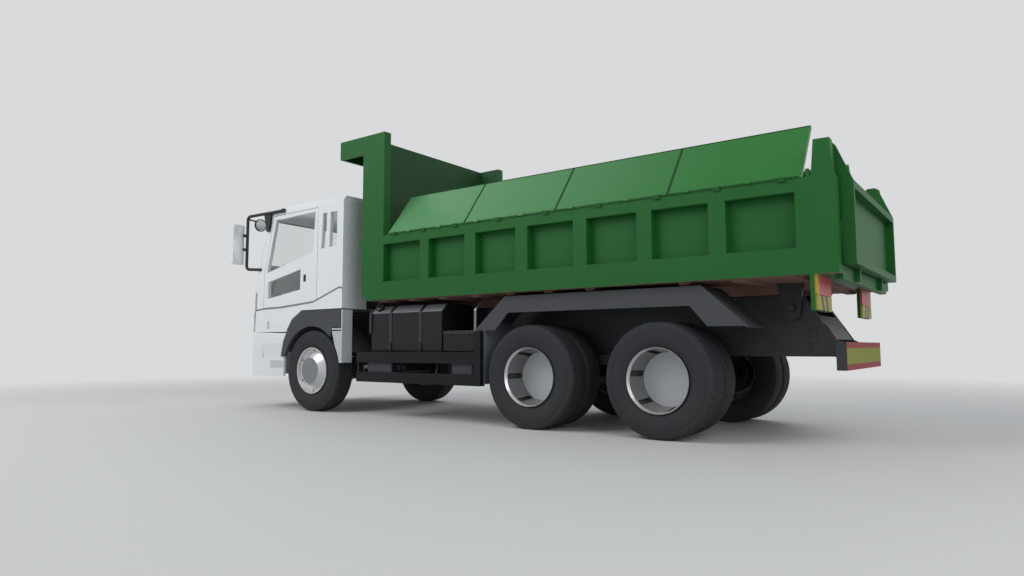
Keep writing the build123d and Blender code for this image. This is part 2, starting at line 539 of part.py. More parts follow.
for name, side in SIDES.items():
    lean = radians(FLAP_LEAN)
    up = Vector(0, -side * sin(lean), cos(lean))
    out = Vector(0, side * cos(lean), sin(lean))
    foot = Vector(0, side * FLAP_PIN[0], FLAP_PIN[1]) - out * (KNUCKLE_R + 3)
    plane = Plane(origin=foot, x_dir=(1, 0, 0), z_dir=out if side < 0 else -out)
    with BuildPart() as flap:
        with BuildSketch(plane):
            with Locations(((FLAP_X[0] + FLAP_X[1]) / 2, FLAP_LENGTH / 2)):
                Rectangle(FLAP_X[0] - FLAP_X[1], FLAP_LENGTH)
        extrude(amount=FLAP_T if side > 0 else -FLAP_T)
        with BuildSketch(plane):
            with Locations(*[(x, FLAP_LENGTH / 2) for x in FLAP_SEAMS]):
                Rectangle(14, FLAP_LENGTH + 2)
        extrude(amount=8 if side > 0 else -8, mode=Mode.SUBTRACT)
        block((FLAP_X[1] - 1, FLAP_X[0] + 1), (side * 1000, side * 1250), (2100, WALL_TOP_Z + 5),
              mode=Mode.SUBTRACT)
        pin_y, pin_z = side * FLAP_PIN[0], FLAP_PIN[1]
        for first, second in zip(FLAP_HINGES[:-1], FLAP_HINGES[1:]):
            x = (first + second) / 2
            rod((x - KNUCKLE_HALF, pin_y, pin_z), (x + KNUCKLE_HALF, pin_y, pin_z), KNUCKLE_R)
            with BuildSketch(Plane(origin=(x - KNUCKLE_HALF, pin_y, pin_z), x_dir=up, z_dir=(1, 0, 0))):
                with Locations((11, side * 4)):
                    Rectangle(22, 2 * KNUCKLE_R + 2)
            extrude(amount=2 * KNUCKLE_HALF)
        rod((FLAP_X[0], pin_y, pin_z), (FLAP_X[1], pin_y, pin_z), FLAP_PIN_R + 0.6, mode=Mode.SUBTRACT)
    flap.part.label = f"flap_{name}"
    export_step(flap.part, f"parts/flap_{name}.step")

with BuildPart() as rear_lamps:
    for side in SIDES.values():
        for low, high in zip(LAMP_Z[:-1], LAMP_Z[1:]):
            block((-3720, -3702), (side * LAMP_Y[0], side * LAMP_Y[1]), (low, high))
        block((-3722, -3701), (side * (LAMP_Y[0] - 1), side * (LAMP_Y[1] + 1)), (LAMP_Z[1] - 2, LAMP_Z[1] + 2),
              mode=Mode.SUBTRACT)
rear_lamps.part.label = "rear_lamps"
export_step(rear_lamps.part, "parts/rear_lamps.step")

# ================================================================ hoist
hoist_run = Vector(HOIST_EYE[0] - HOIST_BASE[0], 0, HOIST_EYE[1] - HOIST_BASE[1])
along = hoist_run.normalized()
base = Vector(HOIST_BASE[0], 0, HOIST_BASE[1])
eye = Vector(HOIST_EYE[0], 0, HOIST_EYE[1])
BARREL_LENGTH = 1020
ROD_LENGTH = 1700
with BuildPart() as hoist_barrel:
    rod(tuple(base + along * 60), tuple(base + along * BARREL_LENGTH), 85)
    rod(tuple(base + along * (BARREL_LENGTH - 70)), tuple(base + along * BARREL_LENGTH), 96)
    pin(HOIST_BASE, -100, 100, 75)
    pin(HOIST_BASE, -101, 101, 28.6, mode=Mode.SUBTRACT)
    rod(tuple(base + along * 120), tuple(base + along * (BARREL_LENGTH + 1)), 52, mode=Mode.SUBTRACT)
hoist_barrel.part.label = "hoist_barrel"
export_step(hoist_barrel.part, "parts/hoist_barrel.step")

with BuildPart() as hoist_rod:
    rod(tuple(eye - along * ROD_LENGTH), tuple(eye - along * 30), 45)
    pin(HOIST_EYE, -50, 50, 58)
hoist_rod.part.label = "hoist_rod"
export_step(hoist_rod.part, "parts/hoist_rod.step")


# ================================================================ cab
def section_at(height):
    """The cab's (height, front X, rear X, half width) at a height, between the listed sections."""
    for low, high in zip(CAB_SECTIONS, CAB_SECTIONS[1:]):
        if height <= high[0]:
            share = max(0, (height - low[0]) / (high[0] - low[0]))
            return (height,) + tuple(a + share * (b - a) for a, b in zip(low[1:], high[1:]))
    return CAB_SECTIONS[-1]


def bowed_loft(sections, inset):
    """Ruled loft through bowed rectangles with rounded front corners, drawn in by a wall thickness."""
    with BuildPart() as body:
        for height, front, rear, half in sections:
            front, rear, half = front - inset, rear + inset, half - inset
            with BuildSketch(Plane.XY.offset(height)) as outline:
                with BuildLine():
                    Polyline((front, -half), (rear, -half), (rear, half), (front, half))
                    ThreePointArc((front, half), (front + CAB_BULGE, 0), (front, -half))
                make_face()
                fillet(outline.vertices().group_by(Axis.X)[-1], CAB_CORNER_R - inset / 2)
        loft(ruled=True)
    return body.part


def cab_loft(inset, lowest, highest):
    """The cab's outer form drawn in by a wall thickness, between two heights."""
    middle = [row for row in CAB_SECTIONS if lowest < row[0] < highest]
    return bowed_loft([section_at(lowest)] + middle + [section_at(highest)], inset)


cab_outer = cab_loft(0, 1035, 2765)
cab_room = cab_loft(CAB_WALL, CAB_FLOOR_Z[1], 2700)
cab_underside = cab_loft(45, 1000, CAB_FLOOR_Z[0])
lid_back = cab_loft(45, 1000, 1960)
lid_pocket = cab_loft(60, 1000, 1960)
glass_front = cab_loft(20, 1965, 2690)
glass_back = cab_loft(28, 1965, 2690)

with BuildPart() as walls:
    add(cab_outer)
    add(cab_room, mode=Mode.SUBTRACT)
    add(cab_underside, mode=Mode.SUBTRACT)
    slab(CAB_LOWER_EDGE, 1300, -1300, mode=Mode.SUBTRACT)
    for outline in SLOT_WINDOWS:
        slab(outline, 1300, -1300, mode=Mode.SUBTRACT)
    block((3690, 3785), (-1000, 1000), (CAB_FLOOR_Z[0] + 10, 1930))
    # pressed crease along the side, handle pocket and marker slit
    crease = CREASE + tuple((x, z - CREASE_W) for x, z in reversed(CREASE))
    for side in SIDES.values():
        slab(crease, side * (CAB_Y - CREASE_DEPTH), side * 1300, mode=Mode.SUBTRACT)
        for x_span, z_span, depth in (HANDLE_POCKET, MARKER_SLIT):
            block(x_span, (side * (CAB_Y - depth), side * 1300), z_span, mode=Mode.SUBTRACT)
    # arms that carry the cab on its tilt pins
    for side in SIDES.values():
        slab(CAB_ARM, side * 440, side * 470)
        pin(CAB_PIVOT, side * 440, side * 470, 45)
        pin(CAB_PIVOT, side * 439, side * 471, CAB_PIN_R + 0.6,
            mode=Mode.SUBTRACT)

with BuildPart() as lid_skin:
    add(cab_outer)
    add(lid_pocket, mode=Mode.SUBTRACT)
    block((3600, 4000), (-LID[0] - 8, LID[0] + 8), (LID[1] - 8, LID[2] + 8), mode=Mode.INTERSECT)

for name, side in SIDES.items():
    near, far = side * 1050, side * 1260
    with BuildPart() as door:
        slab(DOOR_OUTLINE, near, far)
        add(walls.part, mode=Mode.INTERSECT)
        slab(DOOR_WINDOW, near, far, mode=Mode.SUBTRACT)
        slab(LOW_WINDOW, near, far, mode=Mode.SUBTRACT)
    door.part.label = f"door_{name}"
    export_step(door.part, f"parts/door_{name}.step")
    with BuildPart() as door_glass:
        for outline in (DOOR_WINDOW, LOW_WINDOW):
            slab(outline, side * 1156, side * 1164, grow=-0.5)
    door_glass.part.label = f"door_glass_{name}"
    export_step(door_glass.part, f"parts/door_glass_{name}.step")

with BuildPart() as cab_shell:
    add(walls.part)
    for side in SIDES.values():
        slab(DOOR_OUTLINE, side * 1050, side * 1260, mode=Mode.SUBTRACT, grow=DOOR_GAP)
    block((3450, 4000), (-WINDSCREEN[0], WINDSCREEN[0]), WINDSCREEN[1:], mode=Mode.SUBTRACT)
    add(lid_skin.part, mode=Mode.SUBTRACT)
cab_shell.part.label = "cab_shell"
export_step(cab_shell.part, "parts/cab_shell.step")

with BuildPart() as front_panel:
    add(cab_outer)
    add(lid_back, mode=Mode.SUBTRACT)
    block((3600, 4000), (-LID[0], LID[0]), LID[1:], mode=Mode.INTERSECT)
    for z_span in GRILLE_ROWS:
        for y_span in GRILLE_SPANS:
            block((3600, 4000), y_span, z_span, mode=Mode.SUBTRACT)
front_panel.part.label = "front_panel"
export_step(front_panel.part, "parts/front_panel.step")

with BuildPart() as cab_glass:
    add(glass_front)
    add(glass_back, mode=Mode.SUBTRACT)
    block((3450, 4000), (0.5 - WINDSCREEN[0], WINDSCREEN[0] - 0.5), (WINDSCREEN[1] + 0.5, WINDSCREEN[2] - 0.5),
          mode=Mode.INTERSECT)
    for side in SIDES.values():
        for outline in SLOT_WINDOWS:
            slab(outline, side * 1156, side * 1164, grow=-0.5)
cab_glass.part.label = "cab_glass"
export_step(cab_glass.part, "parts/cab_glass.step")

SEAT_Y = (560, -560)
SEAT_W = 500
SEAT_CUSHION = ((2390, 1570), (2390, 1695), (2950, 1695), (2950, 1570))
SEAT_BACK = ((2445, 1640), (2352, 2215), (2255, 2215), (2325, 1640))
HEADREST = ((2346, 2200), (2322, 2400), (2240, 2395), (2262, 2200))


def rounded_slab(points, half_width, radius):
    """A side-view outline, extruded to both sides of the middle, with all its edges rounded."""
    with BuildPart() as pad:
        slab(points, -half_width, half_width)
        fillet(pad.edges(), radius)
    return pad.part


seat_pads = [rounded_slab(SEAT_CUSHION, SEAT_W / 2, 38), rounded_slab(SEAT_BACK, SEAT_W / 2 - 10, 30),
             rounded_slab(HEADREST, 130, 28)]
with BuildPart() as seats:
    for pad in seat_pads:
        with Locations(*[(0, y, 0) for y in SEAT_Y]):
            add(pad)
seats.part.label = "seats"
export_step(seats.part, "parts/seats.step")

with BuildPart() as seat_bases:
    for y in SEAT_Y:
        slab(((2480, CAB_FLOOR_Z[1]), (2500, 1545), (2450, 1545), (2450, SEAT_CUSHION[0][1]),
              (2910, SEAT_CUSHION[0][1]), (2910, 1545), (2890, 1545), (2910, CAB_FLOOR_Z[1])), y - 180, y + 180)
seat_bases.part.label = "seat_bases"
export_step(seat_bases.part, "parts/seat_bases.step")

column_axis = Vector(-sin(radians(COLUMN_TILT)), 0, cos(radians(COLUMN_TILT)))
wheel_centre = Vector(*WHEEL_CENTRE)
with BuildPart() as dashboard:
    slab(((3690, 1560), (3690, 1945), (3600, 1962), (3480, 1955), (3395, 1890), (3420, 1790), (3520, 1620),
          (3560, 1560)), -1040, 1040)
    # cowl of the steering column, and the hood over the instruments before the driver
    slab(((3330, 1760), (3400, 1880), (3525, 1640), (3440, 1600)), -610, -510)
    slab(((3470, 1950), (3440, 2010), (3400, 2005), (3360, 1915), (3400, 1885)), -780, -340)
    rod(tuple(wheel_centre - column_axis * 60), tuple(wheel_centre - column_axis * 600), 35)
dashboard.part.label = "dashboard"
export_step(dashboard.part, "parts/dashboard.step")

with BuildPart() as steering_wheel:
    with Locations(Plane(origin=WHEEL_CENTRE, z_dir=column_axis)):
        Torus(215, 14)
        with Locations((0, 0, -20)):
            Cylinder(45, 50)
        with PolarLocations(110, 3, start_angle=90):
            Box(200, 30, 12)
steering_wheel.part.label = "steering_wheel"
export_step(steering_wheel.part, "parts/steering_wheel.step")

# ================================================================ front of the chassis
bumper_outer = bowed_loft(BUMPER_SECTIONS, 0)
bumper_room = bowed_loft([(430, 3845, 2900, CAB_Y)] + [row for row in BUMPER_SECTIONS[1:-1]] +
                         [(1010, 3866, 2900, CAB_Y)], 40)
with BuildPart() as front_bumper:
    add(bumper_outer)
    add(bumper_room, mode=Mode.SUBTRACT)
    slab(((2900, 1100), (2900, 700), (3122, 700), (3068, 905), (2985, 1056), (2970, 1100)), 1300, -1300,
         mode=Mode.SUBTRACT)
    block((3035, 3080), (-CAB_Y + 30, CAB_Y - 30), (400, 1100), mode=Mode.SUBTRACT)
    for side in SIDES.values():
        block((3700, 4000), (side * (HEADLAMP[0] - 3), side * (HEADLAMP[1] + 3)),
              (HEADLAMP[2] - 3, HEADLAMP[3] + 3), mode=Mode.SUBTRACT)
    for z_span in INTAKE_ROWS:
        block((3700, 4000), (-350, 350), z_span, mode=Mode.SUBTRACT)
    for side in SIDES.values():
        # the side falls away towards a ledge above the side lamp
        with BuildSketch(Plane.YZ.offset(2950)) as hollow:
            with BuildLine():
                Polyline((side * CAB_Y, 880), (side * (CAB_Y + 20), 880), (side * (CAB_Y + 20), 690),
                         (side * (CAB_Y - 26), 690), close=True)
            make_face()
        extrude(hollow.sketch, amount=585, mode=Mode.SUBTRACT)
        lamp_x, lamp_z = SIDE_LAMP
        block((lamp_x[0] - 4, lamp_x[1] + 4), (side * (CAB_Y - 14), side * (CAB_Y + 1)),
              (lamp_z[0] - 4, lamp_z[1] + 4), mode=Mode.SUBTRACT)
        block((3690, 3884), (side * (RAIL_OUT - 60), side * RAIL_OUT), (620, 700))
        block((3600, 3700), (side * (RAIL_OUT - 60), side * RAIL_OUT), (600, 735))
front_bumper.part.label = "front_bumper"
export_step(front_bumper.part, "parts/front_bumper.step")

with BuildPart() as wheel_arches:
    for side in SIDES.values():
        pin((AXLE_FRONT_X, TYRE_R), side * 640, side * 1160, LINER_R + 10)
    block((1700, 3300), (-1200, 1200), (765, 1190), mode=Mode.INTERSECT)
    for side in SIDES.values():
        pin((AXLE_FRONT_X, TYRE_R), side * 600, side * 1170, LINER_R, mode=Mode.SUBTRACT)
        slab(ARCH_BAND, side * 1150, side * CAB_Y)
        pin((AXLE_FRONT_X, TYRE_R), side * 1140, side * 1200, ARCH_R, mode=Mode.SUBTRACT)
wheel_arches.part.label = "wheel_arches"
export_step(wheel_arches.part, "parts/wheel_arches.step")

with BuildPart() as front_mudguards:
    for side in SIDES.values():
        slab(((2060, 1030), (1864, 1030), (1864, 631), (1930, 631)), side * 1165, side * CAB_Y)
        block((1864, 1884), (side * 1026, side * CAB_Y), (631, 1030))
        block((1864, 2060), (side * 1026, side * CAB_Y), (1045, 1065))
        block((1864, 1884), (side * 1026, side * CAB_Y), (1025, 1300))
        pin((AXLE_FRONT_X, TYRE_R), side * 1000, side * 1200, ARCH_R, mode=Mode.SUBTRACT)
front_mudguards.part.label = "front_mudguards"
export_step(front_mudguards.part, "parts/front_mudguards.step")

with BuildPart() as headlamps:
    add(bumper_outer)
    add(bumper_room, mode=Mode.SUBTRACT)
    block((3700, 4000), (-HEADLAMP[1], HEADLAMP[1]), HEADLAMP[2:], mode=Mode.INTERSECT)
    block((3700, 4000), (-HEADLAMP[0], HEADLAMP[0]), HEADLAMP[2:], mode=Mode.SUBTRACT)
    for side in SIDES.values():
        block(SIDE_LAMP[0], (side * (CAB_Y - 14), side * (CAB_Y - 3)), SIDE_LAMP[1])
headlamps.part.label = "headlamps"
export_step(headlamps.part, "parts/headlamps.step")

MIRROR_BRACKET = ((3375, 2690), (3530, 2690), (3500, 2560), (3470, 2440), (3420, 2440), (3385, 2560))
with BuildPart() as mirrors:
    for side in SIDES.values():
        # bent tube that stands out ahead of the door, held at the roof and at the windscreen's foot
        with BuildLine() as tube_path:
            FilletPolyline((3110, side * 1207, 2698), (3900, side * 1235, 2694), (3900, side * 1235, 1935),
                           (3600, side * 1185, 1915), radius=60)
        with BuildSketch(Plane(origin=(3110, side * 1207, 2698), z_dir=(1, 0, 0))) as tube:
            Circle(21)
        sweep(tube.sketch, path=tube_path.line)
        pin((3110, 2698), side * 1178, side * 1222, 30)
        slab(MIRROR_BRACKET, side * 1140, side * 1222)
        # main head, its glass set back in the rear face
        with BuildSketch(Plane.YZ.offset(3920)) as head:
            with Locations((side * 1356, 2279)):
                RectangleRounded(174, 572, 30)
        extrude(head.sketch, amount=64, taper=8)
        with BuildSketch(Plane.YZ.offset(3920)) as glass_seat:
            with Locations((side * 1356, 2279)):
                RectangleRounded(156, 554, 22)
        extrude(glass_seat.sketch, amount=5, mode=Mode.SUBTRACT)
        for z in (2200, 2400):
            block((3895, 3950), (side * 1230, side * 1290), (z, z + 36))
    # round mirror that looks down in front of the cab
    rod((3900, 1235, 2660), (3900, 1030, 2640), 11)
    rod((3882, 1030, 2600), (3916, 1030, 2600), 90)
    rod((3881, 1030, 2600), (3887, 1030, 2600), 82, mode=Mode.SUBTRACT)
    add(cab_outer, mode=Mode.SUBTRACT)
mirrors.part.label = "mirrors"
export_step(mirrors.part, "parts/mirrors.step")

# ================================================================ along the chassis
TANK_X = (290, 1440)
TANK_SECTION = ((560, 770), (1080, 770), (1080, 1237), (985, 1322), (560, 1322))
TANK_BANDS = (620, 1110)            # X of the two bands
HOOP = ((1092, 1010), (1092, 1240), (990, 1300), (900, 1300))      # Y and Z of a steel hoop's centre line


def hoop(x):
    """Adds a flat steel hoop, bent over the outer upper corner, to the part being built."""
    with BuildSketch(Plane.YZ.offset(x)) as strip:
        with BuildLine():
            FilletPolyline(*HOOP, radius=45)
        trace(line_width=14)
    extrude(strip.sketch, amount=30)


def tank_length(x_from, x_to, corner_r, grow=0):
    """Adds a length of the fuel tank's section to the part being built."""
    with BuildSketch(Plane.YZ.offset(x_from)) as section:
        with BuildLine():
            Polyline(*TANK_SECTION, close=True)
        make_face()
        if grow:
            offset(amount=grow, kind=Kind.INTERSECTION)
        fillet(section.vertices(), corner_r)
    extrude(section.sketch, amount=x_to - x_from)


with BuildPart() as fuel_tank:
    tank_length(TANK_X[0], TANK_X[1], 22)
    for x in TANK_BANDS:
        tank_length(x - 22, x + 22, 27, grow=5)
    # filler neck on the sloped shoulder, and the brackets below
    rod((1330, 1010, 1270), (1330, 1050, 1312), 48)
    for x in TANK_BANDS:
        block((x - 22, x + 22), (RAIL_OUT, 1075), (742, 772))
        block((x - 22, x + 22), (RAIL_OUT, RAIL_OUT + 25), (742, 1000))
    block((TANK_X[1] - 5, TANK_X[1] + 12), (880, 1099), (990, 1030))
    hoop(TANK_X[1] - 5)
fuel_tank.part.label = "fuel_tank"
export_step(fuel_tank.part, "parts/fuel_tank.step")

with BuildPart() as battery_box:
    with BuildSketch(Plane.XY.offset(780)):
        with Locations((37.5, 840)):
            RectangleRounded(475, 480, 20)
    extrude(amount=190)
    # lid with an overhanging edge
    with BuildSketch(Plane.XY.offset(968)):
        with Locations((37.5, 840)):
            RectangleRounded(491, 496, 26)
    extrude(amount=39, taper=12)
    for x in (-120, 195):
        block((x - 22, x + 22), (RAIL_OUT, 1060), (752, 782))
        block((x - 22, x + 22), (RAIL_OUT, RAIL_OUT + 25), (752, 1000))
    block((-215, -195), (880, 1099), (960, 1030))
    hoop(-225)
battery_box.part.label = "battery_box"
export_step(battery_box.part, "parts/battery_box.step")

SILENCER = (1500, 700, -780, 905, 215)      # front and rear X, Y, Z, radius
with BuildPart() as silencer:
    front_x, rear_x, y, z, radius = SILENCER
    tank((front_x, y, z), (rear_x, y, z), radius, 45)
    for x in (front_x - 160, rear_x + 160):
        rod((x - 22, y, z), (x + 22, y, z), radius + 5)
        block((x - 22, x + 22), (-RAIL_OUT, y + radius - 10), (z - 45, z + 45))
    rod((rear_x + 20, -890, 790), (430, -1070, 775), 48)
    rod((front_x - 20, -700, 900), (1640, -700, 900), 48)
silencer.part.label = "silencer"
export_step(silencer.part, "parts/silencer.step")

AIR_TANKS = (480, -150, -700, 125)          # front and rear X, Y, radius
with BuildPart() as air_tanks:
    front_x, rear_x, y, radius = AIR_TANKS
    for z in (700, 980):
        tank((front_x, y, z), (rear_x, y, z), radius, 48)
        for x in (front_x - 130, rear_x + 130):
            rod((x - 18, y, z), (x + 18, y, z), radius + 4)
    for x in (front_x - 130, rear_x + 130):
        block((x - 18, x + 18), (-RAIL_OUT, y + radius - 12), (820, 860))
        block((x - 18, x + 18), (y + 20, y + 125), (800, 880))
air_tanks.part.label = "air_tanks"
export_step(air_tanks.part, "parts/air_tanks.step")

with BuildPart() as side_guards:
    for side in SIDES.values():
        for z_span in ((410, 530), (645, 770)):
            block((-345, 1600), (side * 1140, side * 1178), z_span)
        block((-345, -257), (side * 1100, side * 1178), (410, 994))
        # plates behind the two rails
        for x_span in ((1030, 1430), (-200, 80)):
            block(x_span, (side * 1120, side * 1140), (450, 700))
        for x in (1200, -300):
            block((x - 30, x + 30), (side * RAIL_OUT, side * 1140), (600, 640))
            block((x - 30, x + 30), (side * RAIL_OUT, side * 470), (600, 800))
side_guards.part.label = "side_guards"
export_step(side_guards.part, "parts/side_guards.step")

GUARD_OUTER = ((-220, 1000), (-627, 1355), (-2760, 1355), (-3160, 995))
with BuildPart() as rear_mudguards:
    for side in SIDES.values():
        slab((GUARD_OUTER[0], GUARD_OUTER[1], GUARD_OUTER[2], GUARD_OUTER[3], (-3146, 985), (-2755, 1343),
                  (-632, 1343), (-230, 990)), side * 600, side * 1120)
        slab((GUARD_OUTER[0], GUARD_OUTER[1], GUARD_OUTER[2], GUARD_OUTER[3], (-2810, 1000), (-2650, 1182),
                  (-670, 1182), (-500, 1000)), side * 1108, side * 1120)
        block((-358, -346), (side * 620, side * 1120), (430, 1095))
        for x in (-900, -1665, -2430):
            block((x - 25, x + 25), (side * RAIL_OUT, side * 1110), (1300, 1345))
            block((x - 25, x + 25), (side * RAIL_OUT, side * 450), (1200, 1345))
rear_mudguards.part.label = "rear_mudguards"
export_step(rear_mudguards.part, "parts/rear_mudguards.step")

with BuildPart() as rear_bumper:
    block((-3839, -3763), (-809, 809), (628, 860))
    for side in SIDES.values():
        slab(((-3765, 660), (-3765, 845), (TAIL_X, 885), (TAIL_X, 735)), side * 360, side * RAIL_OUT)
        block((-3765, -3500), (side * RAIL_OUT, side * (RAIL_OUT + 12)), (745, 845))
rear_bumper.part.label = "rear_bumper"
export_step(rear_bumper.part, "parts/rear_bumper.step")
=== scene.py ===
"""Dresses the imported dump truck: finishes for every CAD node, and the fine pieces that ride on its bodies."""
import logging
import math
from dataclasses import dataclass
from enum import Enum
from typing import Callable, Iterable, Sequence

import bmesh
import bpy
from mathutils import Matrix, Vector


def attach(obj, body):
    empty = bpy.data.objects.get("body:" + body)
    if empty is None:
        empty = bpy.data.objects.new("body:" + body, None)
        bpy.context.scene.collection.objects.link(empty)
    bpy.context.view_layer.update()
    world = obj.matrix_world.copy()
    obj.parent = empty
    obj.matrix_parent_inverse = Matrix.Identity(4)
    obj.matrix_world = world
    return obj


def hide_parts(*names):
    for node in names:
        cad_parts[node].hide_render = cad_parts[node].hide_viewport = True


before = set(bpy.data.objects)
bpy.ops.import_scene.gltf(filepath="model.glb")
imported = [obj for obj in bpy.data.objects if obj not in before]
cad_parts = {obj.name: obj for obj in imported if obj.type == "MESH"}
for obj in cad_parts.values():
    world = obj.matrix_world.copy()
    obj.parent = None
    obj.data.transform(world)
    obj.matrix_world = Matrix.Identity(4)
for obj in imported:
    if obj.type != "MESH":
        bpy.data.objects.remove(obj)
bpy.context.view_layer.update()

log = logging.getLogger("dump_truck")

Point = tuple[float, float, float]
Tree, Node, Socket = bpy.types.NodeTree, bpy.types.Node, bpy.types.NodeSocket
MM = 0.001
FULL_TURN = 2 * math.pi
SHARP_DEG = 32.0        # edges that turn more than this stay sharp
FACING = 0.9            # a face looks along an axis where its normal's part along it is above this
MIX_FIRST, MIX_SECOND, MIX_RESULT = 6, 7, 2     # the colour sockets of a Mix node
PATCH_SPAN = (0.35, 0.75)       # noise over which a patch of the second colour fades in
CLOUDS_PER_M = 3.0              # clouds in the road dust
BACKDROP = "#D9DADB"


class Side(Enum):
    """A side of the vehicle, with the sign of its Y."""

    LEFT = 1
    RIGHT = -1

    @property
    def label(self) -> str:
        """The side's name as the nodes spell it."""
        return self.name.lower()


# ------------------------------------------------------------------ finishes
def linear(code: str) -> tuple[float, float, float, float]:
    """Turns an sRGB hex code into linear light.

    Args:
        code: Six hex digits after a hash.

    Returns:
        Red, green, blue and full opacity for a shader socket.
    """
    parts = [int(code[i:i + 2], 16) / 255 for i in (1, 3, 5)]
    red, green, blue = (c / 12.92 if c <= 0.04045 else ((c + 0.055) / 1.055) ** 2.4 for c in parts)
    return red, green, blue, 1.0


def add_node(tree: Tree, kind: str, inputs: dict | None = None, **settings) -> Node:
    """Adds one shader node.

    Args:
        tree: The material's node tree.
        kind: The node's type name without its "ShaderNode" prefix.
        inputs: Input name or index to the socket that feeds it or to the value that it holds.
        settings: Attribute or input name to its value; spaces in input names are written as underscores.

    Returns:
        The new node.
    """
    node = tree.nodes.new("ShaderNode" + kind)
    for name, value in settings.items():
        if hasattr(node, name):
            setattr(node, name, value)
        else:
            node.inputs[name.replace("_", " ")].default_value = value
    for name, value in (inputs or {}).items():
        if isinstance(value, Socket):
            tree.links.new(value, node.inputs[name])
        else:
            node.inputs[name].default_value = value
    return node


def backdrop_rays(tree: Tree) -> Socket:
    """Picks out the rays that show the backdrop: the camera's own, and those by way of metal and glass.

    Args:
        tree: The node tree of the floor or the world.

    Returns:
        A socket that is 1 for these rays.
    """
    path = add_node(tree, "LightPath").outputs
    seen = add_node(tree, "Math", {0: path["Is Camera Ray"], 1: path["Is Glossy Ray"]}, operation="MAXIMUM")
    return add_node(tree, "Math", {0: seen.outputs[0], 1: path["Is Transmission Ray"]},
                    operation="MAXIMUM").outputs[0]


@dataclass(frozen=True)
class Finish:
    """A surface finish: a real material and how its surface was made."""

    name: str
    colour: str
    roughness: float
    metallic: float = 0.0
    ior: float = 1.5
    coat: float = 0.0
    specular: float = 0.5       # lower where chalked paint or dust dulls the gloss
    mottle: str = ""            # second colour, laid in soft patches
    mottle_mm: float = 400.0    # size of the patches
    mottle_share: float = 0.35
    grain_mm: float = 0.0       # size of the surface grain, drawn no finer than the render can show
    grain_depth: float = 0.2
    dust: str = ""              # road dust, thickest at the ground
    dust_height: float = 1.2
    dust_share: float = 0.3

    def material(self) -> bpy.types.Material:
        """Returns the finish's material, made on first use."""
        return bpy.data.materials.get(self.name) or self.build()

    def build(self) -> bpy.types.Material:
        """Makes the node tree of the finish.

        Returns:
            The new material.
        """
        made = bpy.data.materials.new(self.name)
        made.use_nodes = True
        tree = made.node_tree
        shader = tree.nodes["Principled BSDF"]
        for name, value in (("Base Color", linear(self.colour)), ("Roughness", self.roughness),
                            ("Metallic", self.metallic), ("IOR", self.ior), ("Coat Weight", self.coat),
                            ("Specular IOR Level", self.specular)):
            shader.inputs[name].default_value = value
        place = add_node(tree, "TexCoord").outputs["Object"]
        colour = self.paint_colour(tree, place)
        if colour:
            tree.links.new(colour, shader.inputs["Base Color"])
        if self.grain_mm:
            grain = add_node(tree, "TexNoise", {"Vector": place}, Scale=1000 / self.grain_mm, Detail=2.0)
            bump = add_node(tree, "Bump", {"Height": grain.outputs["Fac"]}, Strength=self.grain_depth,
                            Distance=self.grain_mm * MM / 4)
            tree.links.new(bump.outputs["Normal"], shader.inputs["Normal"])
        self.extend(tree, shader, place)
        return made

    def paint_colour(self, tree: Tree, place: Socket) -> Socket | None:
        """Mixes the patches and the dust into the base colour.

        Args:
            tree: The material's node tree.
            place: The object coordinates.

        Returns:
            The mixed colour's socket, or None where the colour is even.
        """
        colour = None
        if self.mottle:
            patches = add_node(tree, "TexNoise", {"Vector": place}, Scale=1000 / self.mottle_mm, Detail=4.0,
                               Roughness=0.6)
            share = add_node(tree, "MapRange", {"Value": patches.outputs["Fac"]}, From_Min=PATCH_SPAN[0],
                             From_Max=PATCH_SPAN[1], To_Max=self.mottle_share)
            mix = add_node(tree, "Mix", {"Factor": share.outputs["Result"], MIX_FIRST: linear(self.colour),
                                         MIX_SECOND: linear(self.mottle)}, data_type="RGBA")
            colour = mix.outputs[MIX_RESULT]
        if self.dust:
            height = add_node(tree, "SeparateXYZ", {"Vector": place}).outputs["Z"]
            clouds = add_node(tree, "TexNoise", {"Vector": place}, Scale=CLOUDS_PER_M, Detail=5.0,
                              Roughness=0.65)
            fade = add_node(tree, "MapRange", {"Value": height}, From_Min=self.dust_height, From_Max=0.0,
                            To_Max=self.dust_share * 2)
            amount = add_node(tree, "Math", {0: fade.outputs["Result"], 1: clouds.outputs["Fac"]},
                              operation="MULTIPLY")
            mix = add_node(tree, "Mix", {"Factor": amount.outputs[0], MIX_SECOND: linear(self.dust),
                                         MIX_FIRST: colour or linear(self.colour)}, data_type="RGBA")
            colour = mix.outputs[MIX_RESULT]
        return colour

    def extend(self, tree: Tree, shader: Node, place: Socket) -> None:
        """Adds what a special finish needs; a plain one needs nothing."""

    def cover(self, tree: Tree, shader: Node, share: Socket, over: str) -> None:
        """Lays another colour over the base colour.

        Args:
            tree: The material's node tree.
            shader: Its Principled shader, whose base colour is mixed already.
            share: Socket that is 1 where the other colour covers fully.
            over: The other colour.
        """
        under = shader.inputs["Base Color"].links[0].from_socket
        mix = add_node(tree, "Mix", {"Factor": share, MIX_FIRST: under, MIX_SECOND: linear(over)},
                       data_type="RGBA")
        tree.links.new(mix.outputs[MIX_RESULT], shader.inputs["Base Color"])


